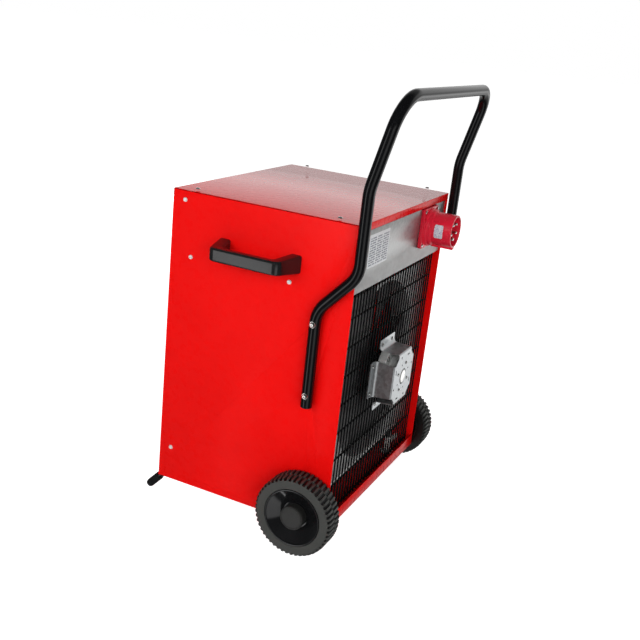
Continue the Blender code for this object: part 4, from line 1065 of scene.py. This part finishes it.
def compressor():
    """Welded can with a seam, a terminal cover and a foot plate bolted on grommets."""
    low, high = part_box("compressor")
    where = Matrix.Translation(((low.x + high.x) / 2, at(0, 0.030, 0).y, LIFT))
    turned("compressor_can", [(0, 0.0665), (0.045, 0.0665), (0.062, 0.077), (0.066, 0.092),
                              (0.066, 0.212), (0.058, 0.233), (0.032, 0.245), (0, 0.247)],
           "enamel", where, 0.006, 72, stands_for=["compressor"], steps=4)
    seam = [(0.0655, 0.150), (0.0672, 0.1505), (0.0678, 0.1520), (0.0672, 0.1535),
            (0.0655, 0.154)]
    piece("compressor_seam", lathe(seam, 72, where), "enamel")
    angles = [angle + math.pi / 2 for angle in turns(3)]
    corners = [polar(reach, angle + spread).xy for angle in angles
               for spread, reach in ((-0.16, 0.093), (0, 0.096), (0.16, 0.093))]
    piece("compressor_foot", prism(corners, 0.0627, 0.0660, where, edge=0.0006), "enamel")
    bolts = bmesh.new()
    washer = soft_profile([(0, 0), (0.0085, 0), (0.0085, 0.0012), (0, 0.0012)], 0.0002)
    for angle in angles:
        spot = where @ Matrix.Translation(polar(0.080, angle, 0.0661))
        add(bolts, lathe(washer, 24, spot))
        add(bolts, prism(hexagon(0.005), 0.0013, 0.0055, spot, edge=0.0004))
    piece("compressor_bolts", bolts, "steel")
    cover = block((-0.020, -0.078, 0.150), (0.020, -0.064, 0.196), 0.003, 3)
    piece("compressor_terminal_cover", moved(cover, where), "plastic")
    for label in ("rear", "right", "left"):
        node = f"{label}_compressor_mount"
        low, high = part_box(node)
        tall, wide, waist = high.z - low.z, 0.0118, 0.0088
        foot = Matrix.Translation(((low.x + high.x) / 2, (low.y + high.y) / 2, low.z))
        turned(f"{label}_grommet", [(0, 0), (wide, 0), (wide, tall * 0.25), (waist, tall * 0.5),
                                    (wide, tall * 0.75), (wide, tall), (0, tall)], "rubber",
               foot, 0.0012, 32, stands_for=[node])


def pipes():
    """Smooth copper lines along the CAD's runs, and the filter drier."""
    x, y = 0.110, 0.030
    end, evaporator, condenser, side = 0.1904, -0.159, -0.110, 0.215
    runs = {
        "discharge_line": ([(x, y, 0.2474), (x, y, 0.300), (0.205, y, 0.300),
                            (0.205, condenser, 0.300), (0.205, condenser, 0.500),
                            (end, condenser, 0.500)], 0.013, 0.0039),
        "suction_line": ([(end, evaporator, 0.240), (side, evaporator, 0.240), (side, y, 0.240),
                          (side, y, 0.190), (x + 0.0664, y, 0.190)], 0.016, 0.0049),
        "liquid_line": ([(-end, condenser, 0.260), (-side, condenser, 0.260),
                         (-side, -0.0454, 0.260)], 0.016, 0.0039),
        "capillary_line": ([(-side, 0.0354, 0.260), (-side, 0.065, 0.260), (-side, 0.065, 0.505),
                            (-side, evaporator, 0.505), (-end, evaporator, 0.505)],
                           0.012, 0.0021),
    }
    for node, (corners, bend, radius) in runs.items():
        path = rounded([at(*corner) for corner in corners], [bend] * (len(corners) - 2), 8)
        piece(f"{node}_pipe", tube(path, radius, 20), "copper", stands_for=[node], smooth=60)
    low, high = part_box("filter_drier")
    long = high.y - low.y
    where = to_place(((low.x + high.x) / 2, low.y, (low.z + high.z) / 2), (0, 1, 0))
    turned("drier_cartridge", [(0, 0), (0.0045, 0), (0.0108, 0.012), (0.0108, long - 0.012),
                               (0.0045, long), (0, long)], "copper", where, 0.003, 40,
           stands_for=["filter_drier"], steps=4)


def water_parts():
    """Drain hose, and the drain spigot with its side barb."""
    x, y = -0.165, 0.166
    path = rounded([at(x, -0.130, 0.1796), at(x, -0.130, 0.112), at(x, y, 0.112),
                    at(x, y, 0.0804)], [0.022, 0.020])
    piece("drain_hose", tube(path, 0.0059, 20), "hose", stands_for=["condensate_hose"],
          smooth=60)
    seat, barrel = 0.0409, 0.0085
    turned("drain_spigot", [(0, 0.024), (0.0070, 0.024), (barrel, 0.030), (barrel, seat),
                            (0.0150, seat), (0.0150, seat + 0.004), (barrel, seat + 0.006),
                            (barrel, 0.074), (0.0065, 0.080), (0, 0.080)], "white",
           Matrix.Translation(at(x, y, 0)), sides=40, stands_for=["drain_fitting"])
    barb = [(0, 0.0087), (0.0046, 0.0087), (0.0046, 0.042), (0.0056, 0.043), (0.0042, 0.060),
            (0, 0.060)]
    piece("drain_barb", lathe(barb, 24, to_place(at(x, y, 0.0625), (-1, 0, 0))), "white")


# ---- front and electrics ------------------------------------------------------------------
def air_filter():
    """Woven mat behind the louvres."""
    low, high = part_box("air_filter")
    mat = block((low.x + 0.012, high.y - 0.0042, low.z + 0.012),
                (high.x - 0.012, high.y - 0.0022, high.z - 0.012), 0.0004)
    piece("filter_weave", mat, "mat", "filter")


def controls():
    """Humidistat knob with a dial, and the hour meter's window and wheels."""
    knob = centre_of("humidistat_knob")
    profile = soft_profile([(0, -0.0180), (0.0029, -0.0180), (0.0029, 0), (0.0188, 0),
                            (0.0186, 0.0035), (0.0172, 0.0045), (0.0168, 0.0150),
                            (0.0152, 0.0170), (0, 0.0172)], 0.0006)
    flute = Matrix.Translation((0.0174, 0, 0))
    cuts = [rod(0.0011, 0.006, 0.03, 10, Matrix.Rotation(angle, 4, "Z") @ flute)
            for angle in turns(24)]
    cap = carved(lathe(profile, 72), cuts)
    where = to_place((knob.x, FRONT_Y - 0.0005, knob.z), (0, -1, 0))
    piece("knob_cap", moved(cap, where), "plastic", "knob", ["humidistat_knob"])
    line = block((knob.x - 0.0009, FRONT_Y - 0.0184, knob.z + 0.0035),
                 (knob.x + 0.0009, FRONT_Y - 0.0174, knob.z + 0.0150), 0.0003)
    piece("knob_pointer", line, "white", "knob")
    ticks = bmesh.new()
    spot = Matrix.Translation((knob.x, FRONT_Y - 0.00025, knob.z))
    for step in range(11):
        reach = 0.0285 if step % 5 == 0 else 0.0265
        tick = block((-0.00055, 0, 0.0228), (0.00055, 0.00025, reach))
        add(ticks, tick, spot @ Matrix.Rotation(math.radians(27 * step - 135), 4, "Y"))
    piece("dial_ticks", ticks, "white")
    low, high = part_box("hour_meter")
    window = block((low.x + 0.0060, low.y - 0.0003, low.z + 0.0085),
                   (high.x - 0.0060, low.y + 0.0004, high.z - 0.0085), 0.0003)
    piece("meter_window", window, "gloss")
    wheels = bmesh.new()
    for digit in range(6):
        x = low.x + 0.0085 + digit * 0.0050
        add(wheels, block((x, low.y - 0.0005, low.z + 0.0105),
                          (x + 0.0036, low.y - 0.00035, high.z - 0.0105)))
    piece("meter_wheels", wheels, "white")


def electrics():
    """Contactor terminals and the capacitor on the shelf in the electrical bay."""
    low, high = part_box("contactor")
    bm = bmesh.new()
    for y in (low.y + 0.010, high.y - 0.010):
        for terminal in range(3):
            spot = (low.x + 0.012 + terminal * 0.018, y, high.z)
            add(bm, pan_head(0.0040, 0.0022), Matrix.Translation(spot))
    piece("contactor_terminals", bm, "steel")
    low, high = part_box("run_capacitor")
    long = high.x - low.x
    where = to_place((low.x, (low.y + high.y) / 2, (low.z + high.z) / 2), (1, 0, 0))
    turned("capacitor_can", [(0, 0), (0.0195, 0), (0.0199, 0.004), (0.0199, long - 0.003),
                             (0, long)], "white", where, 0.002, stands_for=["run_capacitor"])


# ---- studio -------------------------------------------------------------------------------
def backdrop():
    """White floor, lifted for the camera until only a contact shadow shows."""
    g = Surface("studio_floor", "stage")
    tone = g.blend(g.noise(1.5, 2), (0.86, 0.86, 0.86), (0.90, 0.90, 0.90))
    camera_ray = g.add("ShaderNodeLightPath").outputs["Is Camera Ray"]
    g.set(Base_Color=tone, Roughness=0.9, IOR=1.1, Emission_Color=(1, 1, 1, 1),
          Emission_Strength=g.maths("MULTIPLY", camera_ray, 0.90))
    mesh = bpy.data.meshes.new("floor")
    reach, drop = 30.0, 0.0005
    mesh.from_pydata([(-reach, -reach, -drop), (reach, -reach, -drop), (reach, reach, -drop),
                      (-reach, reach, -drop)], [], [(0, 1, 2, 3)])
    mesh.materials.append(g.material)
    floor = bpy.data.objects.new("floor", mesh)
    floor.visible_glossy = False
    bpy.context.scene.collection.objects.link(floor)


def surround():
    """White to the camera; to the machine a dim room with a bright wall on its right."""
    world = bpy.data.worlds.new("studio")
    bpy.context.scene.world = world
    g = Graph(world, "Generated")

    def ramp(value, start, end, low, high):
        return g.spread(value, low, high, start, end, "SMOOTHSTEP")

    split = g.add("ShaderNodeSeparateXYZ", {0: g.place})
    x, y, z = (split.outputs[axis] for axis in "XYZ")
    turn = g.maths("ARCTAN2", y, x)
    above = g.maths("MULTIPLY", ramp(z, 0.06, 0.22, 0.56, 0.90), ramp(z, 0.40, 0.60, 1, 0.3))
    below = g.maths("MULTIPLY", ramp(z, 0.00, -0.15, 0, 0.95), ramp(y, 0.10, 0.30, 0, 1))
    below = g.maths("MULTIPLY", below, ramp(z, -0.38, -0.44, 1, 0))
    wall = g.maths("MULTIPLY", ramp(x, -0.25, -0.60, 0, 1), g.maths("ADD", above, below))
    off = g.maths("ABSOLUTE", g.maths("ADD", turn, 0.52))
    strip = g.maths("MULTIPLY", ramp(off, 0.12, 0.20, 2.2, 0), ramp(z, 0.10, -0.05, 0, 1))
    off = g.maths("ABSOLUTE", g.maths("ADD", turn, -0.75))
    patch = g.maths("MULTIPLY", ramp(off, 0.25, 0.36, 1.1, 0), ramp(z, -0.12, -0.20, 0, 1))
    total = g.maths("ADD", g.maths("ADD", wall, strip), g.maths("ADD", patch, 0.05))
    room = g.nodes["Background"]
    g.feed(room.inputs["Color"], (1, 1, 1, 1))
    g.feed(room.inputs["Strength"], total)
    seen = g.add("ShaderNodeBackground", {"Color": (1, 1, 1, 1), "Strength": 1.0})
    camera_ray = g.add("ShaderNodeLightPath").outputs["Is Camera Ray"]
    mix = g.add("ShaderNodeMixShader", {0: camera_ray, 1: room.outputs[0], 2: seen.outputs[0]})
    g.feed(g.nodes["World Output"].inputs[0], mix.outputs[0])


def area_light(name, place, target, size, power, diffuse=True, glossy=True):
    """Rectangular soft box aimed at a point."""
    data = bpy.data.lights.new(name, "AREA")
    data.shape = "RECTANGLE"
    data.size, data.size_y = size
    data.energy = power
    lamp = bpy.data.objects.new(name, data)
    lamp.location = place
    aim = Vector(target) - Vector(place)
    lamp.rotation_euler = aim.to_track_quat("-Z", "Y").to_euler()
    lamp.visible_diffuse, lamp.visible_glossy = diffuse, glossy
    bpy.context.scene.collection.objects.link(lamp)


def lights():
    """A long soft box up on the left side, fills on the rear and front, a faint top light."""
    side = ((2.95, -0.45, 1.50), (0.3, 0.05, 0.20), (2.5, 1.1))
    area_light("key", *side, 48, glossy=False)
    area_light("sheen", *side, 26, diffuse=False)
    area_light("rear_fill", (2.5, 2.3, 1.3), (0, 0, 0.35), (1.8, 1.8), 52, glossy=False)
    area_light("front_fill", (-2.2, -2.4, 1.4), (0, 0, 0.35), (2.0, 2.0), 42, glossy=False)
    area_light("overhead", (-0.2, 0.2, 3.2), (0, 0, 0.6), (2.0, 2.0), 10, glossy=False)


def camera():
    """Camera that looks down on the rear left corner, slightly rolled."""
    data = bpy.data.cameras.new("camera")
    data.lens, data.sensor_width = 51.04, 36.0
    data.shift_x, data.shift_y = -0.0034, 0.0024
    made = bpy.data.objects.new("camera", data)
    ahead = Vector((-0.8687, -0.3819, -0.3153)).normalized()
    turn = ahead.to_track_quat("-Z", "Y").to_matrix().to_4x4()
    place = at(1.7154, 0.7893, 1.0039)
    made.matrix_world = (Matrix.Translation(place) @ turn
                         @ Matrix.Rotation(math.radians(6.394), 4, "Z"))
    bpy.context.scene.collection.objects.link(made)
    bpy.context.scene.camera = made


def build():
    """Every piece, the studio and the camera."""
    for node, (finish, bevel, segments) in KEPT.items():
        dress(node, finish, bevel, segments)
    for make in (cabinet, rating_label, rear_guard, shroud, motor_bracket, fan_motor, impeller,
                 push_handle, carry_handles, foot, power_inlet, compressor, pipes, water_parts,
                 air_filter, controls, electrics):
        make()
    for side, label in SIDES:
        wheel(side, label)
    for label in ("evaporator", "condenser"):
        coil(label)
    backdrop()
    surround()
    lights()
    camera()
    bpy.context.scene.view_settings.view_transform = "Standard"


build()
